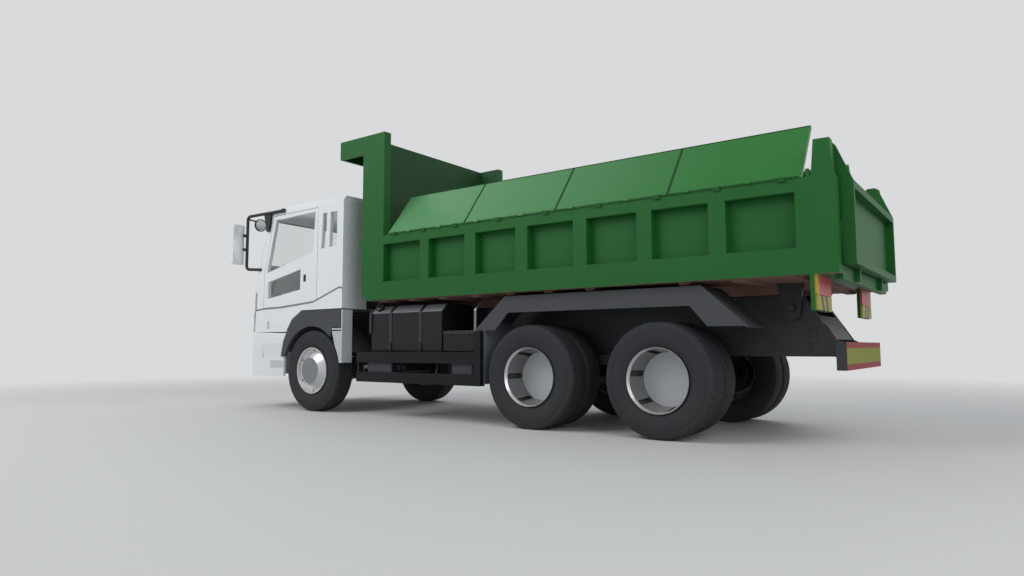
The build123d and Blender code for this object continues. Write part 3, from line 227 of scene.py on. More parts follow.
@dataclass(frozen=True)
class Glazing(Finish):
    """Clear safety glass that lets the lamps light what is behind it."""

    def extend(self, tree: Tree, shader: Node, place: Socket) -> None:
        """Lets sight and light through the pane.

        Args:
            tree: The material's node tree.
            shader: Its Principled shader.
            place: The object coordinates, not used.
        """
        shader.inputs["Transmission Weight"].default_value = 1.0
        shade = add_node(tree, "LightPath").outputs["Is Shadow Ray"]
        clear = add_node(tree, "BsdfTransparent", Color=linear(self.colour))
        mix = add_node(tree, "MixShader", {0: shade, 1: shader.outputs["BSDF"], 2: clear.outputs[0]})
        tree.links.new(mix.outputs[0], tree.nodes["Material Output"].inputs["Surface"])


@dataclass(frozen=True)
class Lens(Finish):
    """Acrylic lamp lens over moulded prisms."""

    rib_mm: float = 14.0
    rib_depth: float = 0.5

    def extend(self, tree: Tree, shader: Node, place: Socket) -> None:
        """Adds the upright prisms behind the lens.

        Args:
            tree: The material's node tree.
            shader: Its Principled shader.
            place: The object coordinates.
        """
        ribs = add_node(tree, "TexWave", {"Vector": place}, wave_type="BANDS", bands_direction="Y",
                        Scale=1000 / self.rib_mm / FULL_TURN)
        bump = add_node(tree, "Bump", {"Height": ribs.outputs["Fac"]}, Strength=self.rib_depth,
                        Distance=2 * MM)
        tree.links.new(bump.outputs["Normal"], shader.inputs["Normal"])


@dataclass(frozen=True)
class TailLens(Lens):
    """Two-colour tail lamp: red above with an amber end, yellow with brown bars below."""

    rib_depth: float = 0.4
    glow: float = 0.05
    amber: str = "#B89A3C"
    yellow: str = "#969238"
    bar: str = "#50340F"
    seam_z: float = 1.23        # object coordinates in metres, as all the places of this lens
    amber_y: float = 1.105
    bar_feet: tuple[float, float] = (0.273, 0.42)       # where the line of each bar meets the ground
    bar_half: float = 0.038
    lean: float = -0.5          # sideways run of a bar over its height

    def extend(self, tree: Tree, shader: Node, place: Socket) -> None:
        """Adds the prisms, and splits the lens by height and by distance from the middle.

        Args:
            tree: The material's node tree.
            shader: Its Principled shader.
            place: The object coordinates.
        """
        super().extend(tree, shader, place)
        axes = add_node(tree, "SeparateXYZ", {"Vector": place}).outputs
        out = add_node(tree, "Math", {0: axes["Y"]}, operation="ABSOLUTE").outputs[0]
        upper = add_node(tree, "Math", {0: axes["Z"], 1: self.seam_z}, operation="GREATER_THAN").outputs[0]
        end = add_node(tree, "Math", {0: out, 1: self.amber_y}, operation="GREATER_THAN").outputs[0]
        slant = add_node(tree, "Math", {0: axes["Z"], 1: self.lean, 2: out},
                         operation="MULTIPLY_ADD").outputs[0]
        near, far = (add_node(tree, "Math", {0: slant, 1: foot, 2: self.bar_half}, operation="COMPARE")
                     for foot in self.bar_feet)
        bars = add_node(tree, "Math", {0: near.outputs[0], 1: far.outputs[0]}, operation="MAXIMUM").outputs[0]
        above, below = (add_node(tree, "Mix", {"Factor": factor, MIX_FIRST: linear(first),
                                               MIX_SECOND: linear(second)}, data_type="RGBA")
                        for factor, first, second in ((end, self.colour, self.amber),
                                                      (bars, self.yellow, self.bar)))
        whole = add_node(tree, "Mix", {"Factor": upper, MIX_FIRST: below.outputs[MIX_RESULT],
                                       MIX_SECOND: above.outputs[MIX_RESULT]}, data_type="RGBA")
        for name in ("Base Color", "Emission Color"):
            tree.links.new(whole.outputs[MIX_RESULT], shader.inputs[name])
        shader.inputs["Emission Strength"].default_value = self.glow


@dataclass(frozen=True)
class Woven(Finish):
    """Flat-woven polyester seat cloth."""

    thread_mm: float = 3.0      # real threads are about 0.8 mm, drawn coarser so that they show
    sheen: float = 0.3

    def extend(self, tree: Tree, shader: Node, place: Socket) -> None:
        """Adds the over-and-under of the threads and the cloth's sheen.

        Args:
            tree: The material's node tree.
            shader: Its Principled shader.
            place: The object coordinates.
        """
        warp, weft = (add_node(tree, "TexWave", {"Vector": place}, wave_type="BANDS", bands_direction=axis,
                               Scale=1000 / self.thread_mm / FULL_TURN) for axis in ("Y", "Z"))
        weave = add_node(tree, "Math", {0: warp.outputs["Fac"], 1: weft.outputs["Fac"]}, operation="MULTIPLY")
        bump = add_node(tree, "Bump", {"Height": weave.outputs[0]}, Strength=0.6, Distance=1 * MM)
        tree.links.new(bump.outputs["Normal"], shader.inputs["Normal"])
        shader.inputs["Sheen Weight"].default_value = self.sheen


@dataclass(frozen=True)
class ShadowedWallEnamel(Finish):
    """Enamel with a painted shadow in matt black, low on the wall behind the engine."""

    wall_shadow: str = "#131416"
    wall_shadow_roughness: float = 0.8
    wall_x: float = 1.877       # object coordinates in metres: the wall's face, the painted shadow's half width and top
    half_y: float = 0.79
    top_z: float = 1.49

    def extend(self, tree: Tree, shader: Node, place: Socket) -> None:
        """Lays the painted shadow over the enamel.

        Args:
            tree: The material's node tree.
            shader: Its Principled shader.
            place: The object coordinates.
        """
        axes = add_node(tree, "SeparateXYZ", {"Vector": place}).outputs
        across = add_node(tree, "Math", {0: axes["Y"]}, operation="ABSOLUTE").outputs[0]
        share, *others = (add_node(tree, "Math", {0: value, 1: limit}, operation="LESS_THAN").outputs[0]
                          for value, limit in ((axes["X"], self.wall_x), (across, self.half_y),
                                               (axes["Z"], self.top_z)))
        for other in others:
            share = add_node(tree, "Math", {0: share, 1: other}, operation="MULTIPLY").outputs[0]
        # painted shadow: matt black on the low middle of the rear wall
        self.cover(tree, shader, share, self.wall_shadow)
        matt = add_node(tree, "MapRange", {"Value": share}, To_Min=self.roughness,
                        To_Max=self.wall_shadow_roughness)
        tree.links.new(matt.outputs["Result"], shader.inputs["Roughness"])


@dataclass(frozen=True)
class GlareHighlightEnamel(Finish):
    """Gloss enamel with a painted highlight of sun glare, lighter towards the front end."""

    glare_colour: str = "#5F9867"
    plain_x: float = -2.9       # object X in metres where the painted highlight starts; it is full at glare_x
    glare_x: float = 0.7

    def extend(self, tree: Tree, shader: Node, place: Socket) -> None:
        """Paints the glare highlight in along the truck.

        Args:
            tree: The material's node tree.
            shader: Its Principled shader.
            place: The object coordinates.
        """
        along = add_node(tree, "SeparateXYZ", {"Vector": place}).outputs["X"]
        share = add_node(tree, "MapRange", {"Value": along}, From_Min=self.plain_x, From_Max=self.glare_x)
        # painted highlight: lighter green towards the front, standing in for glare
        self.cover(tree, shader, share.outputs["Result"], self.glare_colour)


@dataclass(frozen=True)
class Prismatic(Finish):
    """Retroreflective sheeting: small prism cells under a clear film."""

    cell_mm: float = 12.0       # real cells are about 4 mm, drawn coarser so that they show
    glow: float = 0.04          # painted glow: a little light of its own, which sheeting does not have

    def extend(self, tree: Tree, shader: Node, place: Socket) -> None:
        """Adds the cells and a painted glow.

        Args:
            tree: The material's node tree.
            shader: Its Principled shader.
            place: The object coordinates.
        """
        cells = add_node(tree, "TexVoronoi", {"Vector": place}, feature="DISTANCE_TO_EDGE",
                         Scale=1000 / self.cell_mm)
        bump = add_node(tree, "Bump", {"Height": cells.outputs["Distance"]}, Strength=0.4, Distance=1 * MM)
        tree.links.new(bump.outputs["Normal"], shader.inputs["Normal"])
        # painted glow: the sheeting's own colour sent out as light
        shader.inputs["Emission Color"].default_value = linear(self.colour)
        shader.inputs["Emission Strength"].default_value = self.glow


@dataclass(frozen=True)
class StudioFloor(Finish):
    """Matt studio floor that runs out into the backdrop's colour."""

    near_m: float = 5.5
    far_m: float = 15.0

    def extend(self, tree: Tree, shader: Node, place: Socket) -> None:
        """Lets the far floor show the backdrop's own colour.

        Args:
            tree: The material's node tree.
            shader: Its Principled shader.
            place: The object coordinates.
        """
        away = add_node(tree, "VectorMath", {0: place}, operation="LENGTH").outputs["Value"]
        share = add_node(tree, "MapRange", {"Value": away}, interpolation_type="SMOOTHSTEP",
                         From_Min=self.near_m, From_Max=self.far_m)
        shown = add_node(tree, "Math", {0: backdrop_rays(tree), 1: share.outputs["Result"]},
                         operation="MULTIPLY")
        plain = add_node(tree, "Emission", Color=linear(BACKDROP), Strength=1.0)
        mix = add_node(tree, "MixShader", {0: shown.outputs[0], 1: shader.outputs["BSDF"],
                                           2: plain.outputs[0]})
        tree.links.new(mix.outputs[0], tree.nodes["Material Output"].inputs["Surface"])


# sprayed two-pack enamel: an even skin with a soft clear gloss and a faint orange peel
CAB_COAT = {"colour": "#E6EAEB", "roughness": 0.25, "coat": 0.35, "mottle": "#D9DEE0", "mottle_mm": 900,
            "grain_mm": 14, "grain_depth": 0.03, "dust": "#B9B2A4", "dust_height": 1.3, "dust_share": 0.18}
CAB_ENAMEL = Finish("white_two_pack_cab_enamel", **CAB_COAT)
# the same enamel on the cab's shell, with a painted shadow: matt black low in the middle of its rear wall,
# where the gap under the bed lies in shade
SHELL_ENAMEL = ShadowedWallEnamel("cab_enamel_with_painted_shadow", **CAB_COAT)
# painted shade: the same enamel toned down to grey where it lines the pressed crease and the marker slit
CREASE_SHADE_PAINT = Finish("painted_crease_shade", "#93979A", 0.45, mottle="#8C9093", grain_mm=14, grain_depth=0.03)
# thick brushed-on bed enamel: saturated, satin, with paler patches where it has chalked
BED_ENAMEL = Finish("green_bed_enamel", "#1C5C26", 0.48, specular=0.22, mottle="#23682D", mottle_mm=700,
                    grain_mm=16, grain_depth=0.05, dust="#4F5A41", dust_height=1.8, dust_share=0.06)
# gloss enamel of the flaps, plain at the back, with a painted highlight of sun glare that grows lighter towards
# the front
FLAP_ENAMEL = GlareHighlightEnamel("gloss_green_flap_enamel", "#20702A", 0.3, coat=0.1, specular=0.25,
                             mottle="#29742F", mottle_mm=900, grain_mm=16, grain_depth=0.04)
# joint strips of the flaps: a darker line between the panels
STRIP_ENAMEL = Finish("dark_green_strip_enamel", "#153F1B", 0.5, specular=0.2)
# dull oxide primer that the top coat never covered underneath
RED_PRIMER = Finish("red_oxide_primer", "#86665B", 0.8, specular=0.3, mottle="#6E554F", mottle_mm=500,
                    grain_mm=8, grain_depth=0.15)
# load floor scoured by stone: enamel worn through to dark bare steel in streaks
WORN_FLOOR = Finish("scoured_load_floor", "#35503A", 0.55, metallic=0.25, mottle="#6B6A64", mottle_mm=260,
                    mottle_share=0.8, grain_mm=9, grain_depth=0.25)
# walls inside the bed, in a darker green than outside, scuffed at the load's height
WORN_WALL = Finish("scuffed_bed_enamel", "#1C4A24", 0.55, specular=0.25, mottle="#35503A", mottle_mm=320,
                   mottle_share=0.45, grain_mm=9, grain_depth=0.15)
# sprayed chassis enamel: satin black, greyed by road dust towards the ground; also laid on the walls of the
# front discs' holes as painted shade
CHASSIS_ENAMEL_AND_HOLE_SHADE = Finish("black_chassis_enamel_and_hole_shade", "#292B2E", 0.45, specular=0.35, mottle="#323437", grain_mm=10,
                        grain_depth=0.08, dust="#5A554B", dust_height=1.2, dust_share=0.2)
# dipped enamel of the guard rails: near black, hardly a highlight
RAIL_ENAMEL = Finish("black_rail_enamel", "#151617", 0.55, specular=0.2, mottle="#1B1C1D", grain_mm=10,
                     grain_depth=0.06)
# stoved enamel on drawn sheet: smooth near-black boxes
TANK_ENAMEL = Finish("black_tank_enamel", "#18191C", 0.4, specular=0.25, mottle="#1F2124", grain_mm=12,
                     grain_depth=0.05, dust="#4A463F", dust_height=1.3, dust_share=0.1)
# painted highlight: the tank's sloped top in lighter grey where light falls on it, with a gritty grain
LIT_TANK_TOP_PAINT = Finish("painted_light_tank_top", "#868A8D", 0.8, specular=0.3, mottle="#75797C", grain_mm=7,
                    grain_depth=0.35)
# injection-moulded polypropylene: even slate grey with a fine leather grain
GUARD_PLASTIC = Finish("moulded_grey_polypropylene", "#404345", 0.6, ior=1.49, specular=0.35,
                       mottle="#484B4D", grain_mm=5, grain_depth=0.12, dust="#625F58", dust_height=1.4,
                       dust_share=0.14)
# white enamel behind the front wheels, browned by spray
GUARD_ENAMEL = Finish("white_guard_enamel", "#C0C4C5", 0.4, mottle="#B3B8B9", grain_mm=12, grain_depth=0.05,
                      dust="#8A8478", dust_height=1.2, dust_share=0.35)
# moulded trim: black with a soft edge light
TRIM_BLACK = Finish("black_moulded_trim", "#17181A", 0.5, ior=1.49, grain_mm=4, grain_depth=0.1)
# painted shade: the tyre where it tucks behind the rim, darkened to a ring of shadow that sets the rim off
BEAD_SHADE_PAINT = Finish("shaded_bead_rubber", "#0F1011", 0.8, ior=1.52, specular=0.2)
# vulcanised rubber: matt charcoal, dusted low down
TYRE_RUBBER = Finish("vulcanised_tyre_rubber", "#282B2E", 0.75, ior=1.52, specular=0.3, mottle="#303336",
                     mottle_mm=120, grain_mm=6, grain_depth=0.15, dust="#4E4C48", dust_height=1.15,
                     dust_share=0.12)
# aluminium-flake enamel of the flanges: the bright ring of a wheel
RIM_STEEL = Finish("silver_rim_enamel", "#D2D3D3", 0.26, metallic=0.6, mottle="#C4C5C6", mottle_mm=200,
                   dust="#8A857B", dust_height=1.1, dust_share=0.14)
# the same enamel inside the rim, in a darker grey
BARREL_STEEL = Finish("silver_barrel_enamel", "#8C8B8B", 0.3, metallic=0.55, mottle="#7B7977", mottle_mm=120,
                      grain_mm=10, grain_depth=0.05)
# painted shade: the front cap's disc enamel in flat mid grey, darker than the twin rims' discs, which sets its
# bright cone off
SHADED_CAP_ENAMEL = Finish("cap_enamel_in_painted_shade", "#7C8082", 0.45, metallic=0.1, mottle="#74787A", mottle_mm=200,
                    grain_mm=10, grain_depth=0.05)
# thicker coat on the disc: flat light grey
DISC_STEEL = Finish("silver_disc_enamel", "#C8CCCE", 0.45, metallic=0.1, mottle="#BDC1C3", mottle_mm=200,
                    grain_mm=10, grain_depth=0.05, dust="#7A766D", dust_height=1.1, dust_share=0.12)
# zinc plate: small grey glints
NUT_STEEL = Finish("zinc_plated_nut_steel", "#8E9499", 0.35, metallic=0.9, grain_mm=3, grain_depth=0.1)
# ground hard chrome: a sharp streak of light
ROD_STEEL = Finish("ground_chromed_rod", "#C4C8CC", 0.12, metallic=1.0)
# mirror glass, part metal and part pale grey-white: a painted reflection of pale sky without a picture in it
MIRROR_GLASS = Finish("mirror_glass_painted_pale", "#E8EAEA", 0.3, metallic=0.45)
# toughened glass: clear, with a clean edge
CLEAR_GLASS = Glazing("clear_safety_glass", "#F7FAF9", 0.0, ior=1.45)
# hard-coated polycarbonate that shows the bowls behind it
HEADLAMP_LENS = Glazing("clear_lamp_polycarbonate", "#EDF1F2", 0.02, ior=1.49)
# flat-woven polyester: dark blue-grey with a dry sheen
SEAT_CLOTH = Woven("woven_seat_cloth", "#3B4048", 0.9)
# soft-touch cabin moulding: light grey and matt
CABIN_PLASTIC = Finish("soft_grey_cabin_plastic", "#B4B6B8", 0.6, grain_mm=4, grain_depth=0.12)
# matt EPDM window rubber: black without a highlight
SEAL_RUBBER = Finish("epdm_window_rubber", "#1B1C1E", 0.7, ior=1.52, grain_mm=4, grain_depth=0.1)
# frosted acrylic over small lamps: a pale milky face
MILKY_LENS = Lens("milky_lamp_acrylic", "#C3C5C4", 0.3, ior=1.49, coat=0.3, rib_mm=9.0)
# vacuum-plated reflector bowl: a clean bright mirror
CHROME = Finish("plated_reflector_chrome", "#D9DDE0", 0.08, metallic=1.0)
# painted shade: dull brown-grey in recesses that light hardly reaches, and on the backing behind the grille
# mesh
POCKET_SHADE = Finish("painted_recess_shade", "#4A4640", 0.7, metallic=0.3, mottle="#3A3733", grain_mm=6,
                      grain_depth=0.15)
# drawn stainless strip: half bright, with a soft grain
HOOP_STEEL = Finish("drawn_stainless_strip", "#7C8082", 0.35, metallic=0.6, grain_mm=5, grain_depth=0.06)
# steel tension band under its paint: satin black, hardly mottled
BAND_STEEL = Finish("painted_band_steel", "#222427", 0.45, metallic=0.1, mottle="#2A2C2E", grain_mm=7,
                    grain_depth=0.1)
# blue-grey sheet behind the rails: satin powder coat
PLATE_GREY = Finish("blue_grey_powder_coat", "#373B42", 0.5, specular=0.3, mottle="#31353B", grain_mm=6,
                    grain_depth=0.1, dust="#5A554B", dust_height=1.0, dust_share=0.25)
# calendered rubber sheet of the mud flaps: flat blue-grey
FLAP_RUBBER = Finish("calendered_flap_rubber", "#6A7077", 0.65, ior=1.52, mottle="#60666D", grain_mm=6,
                     grain_depth=0.12, dust="#5C574E", dust_height=0.9, dust_share=0.3)
# aluminised sheet steel: grey, half bright, with heat stains
SILENCER_STEEL = Finish("aluminised_sheet_steel", "#7F8182", 0.5, metallic=0.6, mottle="#6B645C",
                        mottle_mm=200, grain_mm=8, grain_depth=0.1)
# cast iron of the engine and gearbox: rough and dark grey
CAST_IRON = Finish("sand_cast_iron", "#3E4042", 0.65, metallic=0.4, mottle="#34312D", mottle_mm=150,
                   grain_mm=5, grain_depth=0.3)
# prismatic sheeting: dull by day, with a painted glow, a little light of its own
REFLEX_YELLOW = Prismatic("prismatic_yellow_sheeting", "#7F8424", 0.5, ior=1.49, specular=0.15)
REFLEX_RED = Prismatic("prismatic_red_sheeting", "#8E2B30", 0.5, ior=1.49, specular=0.15)
# two-colour acrylic of the tail lamps
TAIL_LENS = TailLens("striped_tail_lamp_acrylic", "#BE5A60", 0.35, ior=1.49, specular=0.12)
# painted studio floor, matt and pale
FLOOR = StudioFloor("pale_studio_floor", "#D6D6D4", 0.75)

NODE_FINISHES: dict[str, Finish] = {
    "cab_shell": SHELL_ENAMEL, "front_panel": CAB_ENAMEL, "door_left": CAB_ENAMEL, "door_right": CAB_ENAMEL,
    "front_bumper": CAB_ENAMEL, "mirrors": TRIM_BLACK, "cab_glass": CLEAR_GLASS,
    "door_glass_left": CLEAR_GLASS, "door_glass_right": CLEAR_GLASS,
    "bed_floor": BED_ENAMEL, "bed_side_left": BED_ENAMEL, "bed_side_right": BED_ENAMEL,
    "bed_headboard": BED_ENAMEL, "tailgate": BED_ENAMEL, "flap_left": FLAP_ENAMEL, "flap_right": FLAP_ENAMEL,
    "wheel_arches": GUARD_PLASTIC, "rear_mudguards": GUARD_PLASTIC, "front_mudguards": GUARD_ENAMEL,
    "chassis_frame": CHASSIS_ENAMEL_AND_HOLE_SHADE, "driveline": CAST_IRON, "axles": CHASSIS_ENAMEL_AND_HOLE_SHADE,
    "leaf_springs": CHASSIS_ENAMEL_AND_HOLE_SHADE, "knuckle_left": CHASSIS_ENAMEL_AND_HOLE_SHADE, "knuckle_right": CHASSIS_ENAMEL_AND_HOLE_SHADE,
    "tie_rod": CHASSIS_ENAMEL_AND_HOLE_SHADE, "side_guards": RAIL_ENAMEL, "rear_bumper": CHASSIS_ENAMEL_AND_HOLE_SHADE,
    "hoist_barrel": CHASSIS_ENAMEL_AND_HOLE_SHADE, "hoist_rod": ROD_STEEL, "fuel_tank": TANK_ENAMEL,
    "battery_box": TANK_ENAMEL, "silencer": SILENCER_STEEL, "air_tanks": TANK_ENAMEL,
    "headlamps": HEADLAMP_LENS, "rear_lamps": TAIL_LENS, "seats": SEAT_CLOTH, "seat_bases": CABIN_PLASTIC,
    "dashboard": CABIN_PLASTIC, "steering_wheel": TRIM_BLACK,
}


def finish_of(node: str) -> Finish:
    """Finds the finish of a CAD node; tyres and rims come by their names.

    Args:
        node: The CAD node.

    Returns:
        Its finish.
    """
    if node.startswith("tyre"):
        return TYRE_RUBBER
    if node.startswith("rim"):
        return RIM_STEEL
    return NODE_FINISHES[node]


def dress_nodes() -> None:
    """Gives every CAD node its finish."""
    for name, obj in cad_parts.items():
        obj.data.materials.clear()
        obj.data.materials.append(finish_of(name).material())


# ------------------------------------------------------------------ shaping
class Shape:
    """A mesh under construction, in millimetres."""

    WASHER = (0.62, 0.12)       # radius and thickness, as shares of a bolt head's width
    HEAD = (0.5, 0.6)           # radius and height of the head, likewise

    def __init__(self) -> None:
        """Starts with nothing."""
        self.bm = bmesh.new()

    def soften(self, verts: Iterable[bmesh.types.BMVert], width: float, steps: int = 1, cap: int = 0) -> None:
        """Rounds the edges between some vertices.

        Args:
            verts: The vertices of the body.
            width: How far the rounding reaches; nothing happens at 0.
            steps: Faces across the rounding.
            cap: Where given, only edges of faces with this many corners are rounded.
        """
        if not width:
            return
        edges = {edge for vert in verts for edge in vert.link_edges}
        if cap:
            edges = {edge for edge in edges if any(len(face.verts) == cap for face in edge.link_faces)}
        bmesh.ops.bevel(self.bm, geom=list(edges), offset=width, offset_type="OFFSET", segments=steps,
                        profile=0.5, affect="EDGES", material=-1, clamp_overlap=True)

    def box(self, low: Point, high: Point, bevel: float = 0.0, steps: int = 1) -> "Shape":
        """Adds a block.

        Args:
            low: One corner.
            high: The opposite corner.
            bevel: Rounding of its edges.
            steps: Faces across the rounding.

        Returns:
            The shape itself.
        """
        size = [abs(b - a) for a, b in zip(low, high)]
        middle = [(a + b) / 2 for a, b in zip(low, high)]
        place = Matrix.Translation(middle) @ Matrix.Diagonal((*size, 1.0))
        self.soften(bmesh.ops.create_cube(self.bm, size=1.0, matrix=place)["verts"], bevel, steps)
        return self

    def rod(self, start: Point, end: Point, radius: float, end_radius: float | None = None,
            segments: int = 24, bevel: float = 0.0) -> "Shape":
        """Adds a round or, with few segments, a many-sided bar.

        Args:
            start: Middle of its first end.
            end: Middle of its other end.
            radius: Radius at the first end.
            end_radius: Radius at the other end, where it differs.
            segments: Sides round it.
            bevel: Rounding of its two rims.

        Returns:
            The shape itself.
        """
        axis = Vector(end) - Vector(start)
        turn = axis.to_track_quat("Z", "Y").to_matrix().to_4x4()
        place = Matrix.Translation((Vector(start) + Vector(end)) / 2) @ turn
        made = bmesh.ops.create_cone(self.bm, cap_ends=True, segments=segments, radius1=radius, matrix=place,
                                     radius2=radius if end_radius is None else end_radius, depth=axis.length)
        self.soften(made["verts"], bevel, 2, cap=segments)
        return self

    def turned(self, profile: Sequence[tuple[float, float]], origin: Point, axis: Point,
               segments: int = 48) -> "Shape":
        """Adds a closed outline spun about an axis.

        Args:
            profile: Places along the axis, each with its radius.
            origin: Where the axis starts.
            axis: Its direction.
            segments: Steps round it.

        Returns:
            The shape itself.
        """
        start, way = Vector(origin), Vector(axis).normalized()
        out = way.orthogonal().normalized() if abs(way.z) > 0.9 else Vector((0, 0, 1))
        verts = [self.bm.verts.new(start + way * along + out * radius) for along, radius in profile]
        edges = [self.bm.edges.new(pair) for pair in zip(verts, verts[1:] + verts[:1])]
        bmesh.ops.spin(self.bm, geom=verts + edges, cent=start, axis=way, angle=FULL_TURN, steps=segments,
                       use_merge=True)
        bmesh.ops.remove_doubles(self.bm, verts=self.bm.verts, dist=0.01)
        return self

    def prism(self, outline: Sequence[Point], along: Point) -> "Shape":
        """Adds a flat outline drawn out along a vector.

        Args:
            outline: Its corners in order.
            along: How far and which way it is drawn.

        Returns:
            The shape itself.
        """
        face = self.bm.faces.new([self.bm.verts.new(point) for point in outline])
        drawn = bmesh.ops.extrude_face_region(self.bm, geom=[face])["geom"]
        moved = [item for item in drawn if isinstance(item, bmesh.types.BMVert)]
        bmesh.ops.translate(self.bm, vec=Vector(along), verts=moved)
        return self

    def tube(self, path: Sequence[Point], radius: float, segments: int = 12) -> "Shape":
        """Adds a round bar bent along a path.

        Args:
            path: Points along its middle.
            radius: Its radius.
            segments: Sides round it.

        Returns:
            The shape itself.
        """
        points = [Vector(point) for point in path]
        runs = [(b - a).normalized() for a, b in zip(points, points[1:])]
        ways = [runs[0]] + [(a + b).normalized() for a, b in zip(runs, runs[1:])] + [runs[-1]]
        turn = ways[0].to_track_quat("Z", "Y")
        place = Matrix.Translation(points[0]) @ turn.to_matrix().to_4x4()
        ring = bmesh.ops.create_circle(self.bm, radius=radius, segments=segments, matrix=place)["verts"]
        edges = list({edge for vert in ring for edge in vert.link_edges})
        first = edges
        for point, before, way in zip(points[1:], ways, ways[1:]):
            drawn = bmesh.ops.extrude_edge_only(self.bm, edges=edges)["geom"]
            ring = [item for item in drawn if isinstance(item, bmesh.types.BMVert)]
            turn = before.rotation_difference(way) @ turn
            new_place = Matrix.Translation(point) @ turn.to_matrix().to_4x4()
            bmesh.ops.transform(self.bm, matrix=new_place @ place.inverted(), verts=ring)
            place = new_place
            edges = [item for item in drawn if isinstance(item, bmesh.types.BMEdge)
                     and all(vert in ring for vert in item.verts)]
        for rim in (first, edges):
            bmesh.ops.edgeloop_fill(self.bm, edges=rim)
        return self

    def bolt(self, at: Point, way: Point, across: float = 24.0) -> "Shape":
        """Adds a hexagon head on its washer.

        Args:
            at: Where the washer lies on the surface.
            way: Unit vector out of the surface.
            across: Width of the head over its corners.

        Returns:
            The shape itself.
        """
        foot, out = Vector(at), Vector(way)
        self.rod(foot - out, foot + out * across * self.WASHER[1], across * self.WASHER[0], segments=12)
        self.rod(foot, foot + out * across * self.HEAD[1], across * self.HEAD[0], segments=6)
        return self

    def paint(self, number: int, holds: Callable[[Vector, Vector], bool]) -> "Shape":
        """Gives some faces a finish other than the first.

        Args:
            number: The finish's place in the piece's list.
            holds: Test of a face's middle and normal.

        Returns:
            The shape itself.
        """
        self.bm.normal_update()
        for face in self.bm.faces:
            if holds(face.calc_center_median(), face.normal):
                face.material_index = number
        return self

    def mesh(self, name: str) -> bpy.types.Mesh:
        """Turns the shape, which is used up by it, into a mesh in metres.

        Args:
            name: The mesh's name.

        Returns:
            The mesh.
        """
        bmesh.ops.scale(self.bm, vec=(MM, MM, MM), verts=self.bm.verts)
        made = bpy.data.meshes.new(name)
        self.bm.to_mesh(made)
        self.bm.free()
        return made


def add_object(name: str, data: bpy.types.ID) -> bpy.types.Object:
    """Puts a new object into the scene.

    Args:
        name: The object's name.
        data: Its mesh, lamp or camera.

    Returns:
        The object.
    """
    obj = bpy.data.objects.new(name, data)
    bpy.context.scene.collection.objects.link(obj)
    return obj


def place_piece(name: str, shape: Shape, finishes: Sequence[Finish], body: str,
                replaces: Sequence[str] = ()) -> None:
    """Makes a shape a finished piece of the truck.

    Args:
        name: The piece's name.
        shape: Its mesh, in millimetres.
        finishes: Its finishes, by the numbers its faces carry.
        body: The body it rides on.
        replaces: CAD nodes it stands for.
    """
    bmesh.ops.recalc_face_normals(shape.bm, faces=shape.bm.faces)
    mesh = shape.mesh(name)
    for finish in finishes:
        mesh.materials.append(finish.material())
    mesh.shade_smooth()
    mesh.set_sharp_from_angle(angle=math.radians(SHARP_DEG))
    obj = add_object(name, mesh)
    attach(obj, body)
    if replaces:
        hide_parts(*replaces)
    log.info("%s on %s, %d faces", name, body, len(mesh.polygons))


def zone(node: str, finish: Finish, holds: Callable[[Vector, Vector], bool]) -> None:
    """Gives some faces of a CAD node a finish of their own.

    Args:
        node: The CAD node.
        finish: Their finish.
        holds: Test of a face's middle, in millimetres, and its normal.
    """
    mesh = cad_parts[node].data
    mesh.materials.append(finish.material())
    number = len(mesh.materials) - 1
    for face in mesh.polygons:
        if holds(face.center / MM, face.normal):
            face.material_index = number


def circle_through(a: tuple[float, float], b: tuple[float, float],
                   c: tuple[float, float]) -> tuple[float, float, float]:
    """Finds the circle through three points of a plane.

    Args:
        a: First point.
        b: Second point.
        c: Third point.

    Returns:
        Its middle's two coordinates and its radius.
    """
    (ax, ay), (bx, by), (cx, cy) = a, b, c
    twice = 2 * (ax * (by - cy) + bx * (cy - ay) + cx * (ay - by))
    ma, mb, mc = ax * ax + ay * ay, bx * bx + by * by, cx * cx + cy * cy
    x = (ma * (by - cy) + mb * (cy - ay) + mc * (ay - by)) / twice
    y = (ma * (cx - bx) + mb * (ax - cx) + mc * (bx - ax)) / twice
    return x, y, math.hypot(ax - x, ay - y)


CAB_HALF, CAB_BULGE = 1189.0, 60.0      # half width of the cab, and how far its front bows out in the middle
# height and X of the cab's front corner, from the sill to the roof
CORNER_LINE = ((1035, 3862), (1300, 3862), (1345, 3845), (1620, 3840), (1790, 3819), (1960, 3749),
               (2700, 3549))


def cab_front(y: float, z: float, inset: float = 0.0) -> Point:
    """Finds a point on the bowed front of the cab.

    Args:
        y: Place across the cab.
        z: Height.
        inset: Depth under the outer skin; negative is ahead of it.

    Returns:
        The point.
    """
    corner = CORNER_LINE[-1][1]
    for (low, near), (high, far) in zip(CORNER_LINE, CORNER_LINE[1:]):
        if low <= z <= high:
            corner = near + (far - near) * (z - low) / (high - low)
    radius = ((CAB_HALF - inset) ** 2 + CAB_BULGE ** 2) / (2 * CAB_BULGE)
    return corner - inset + CAB_BULGE - radius + math.sqrt(radius ** 2 - y ** 2), y, z


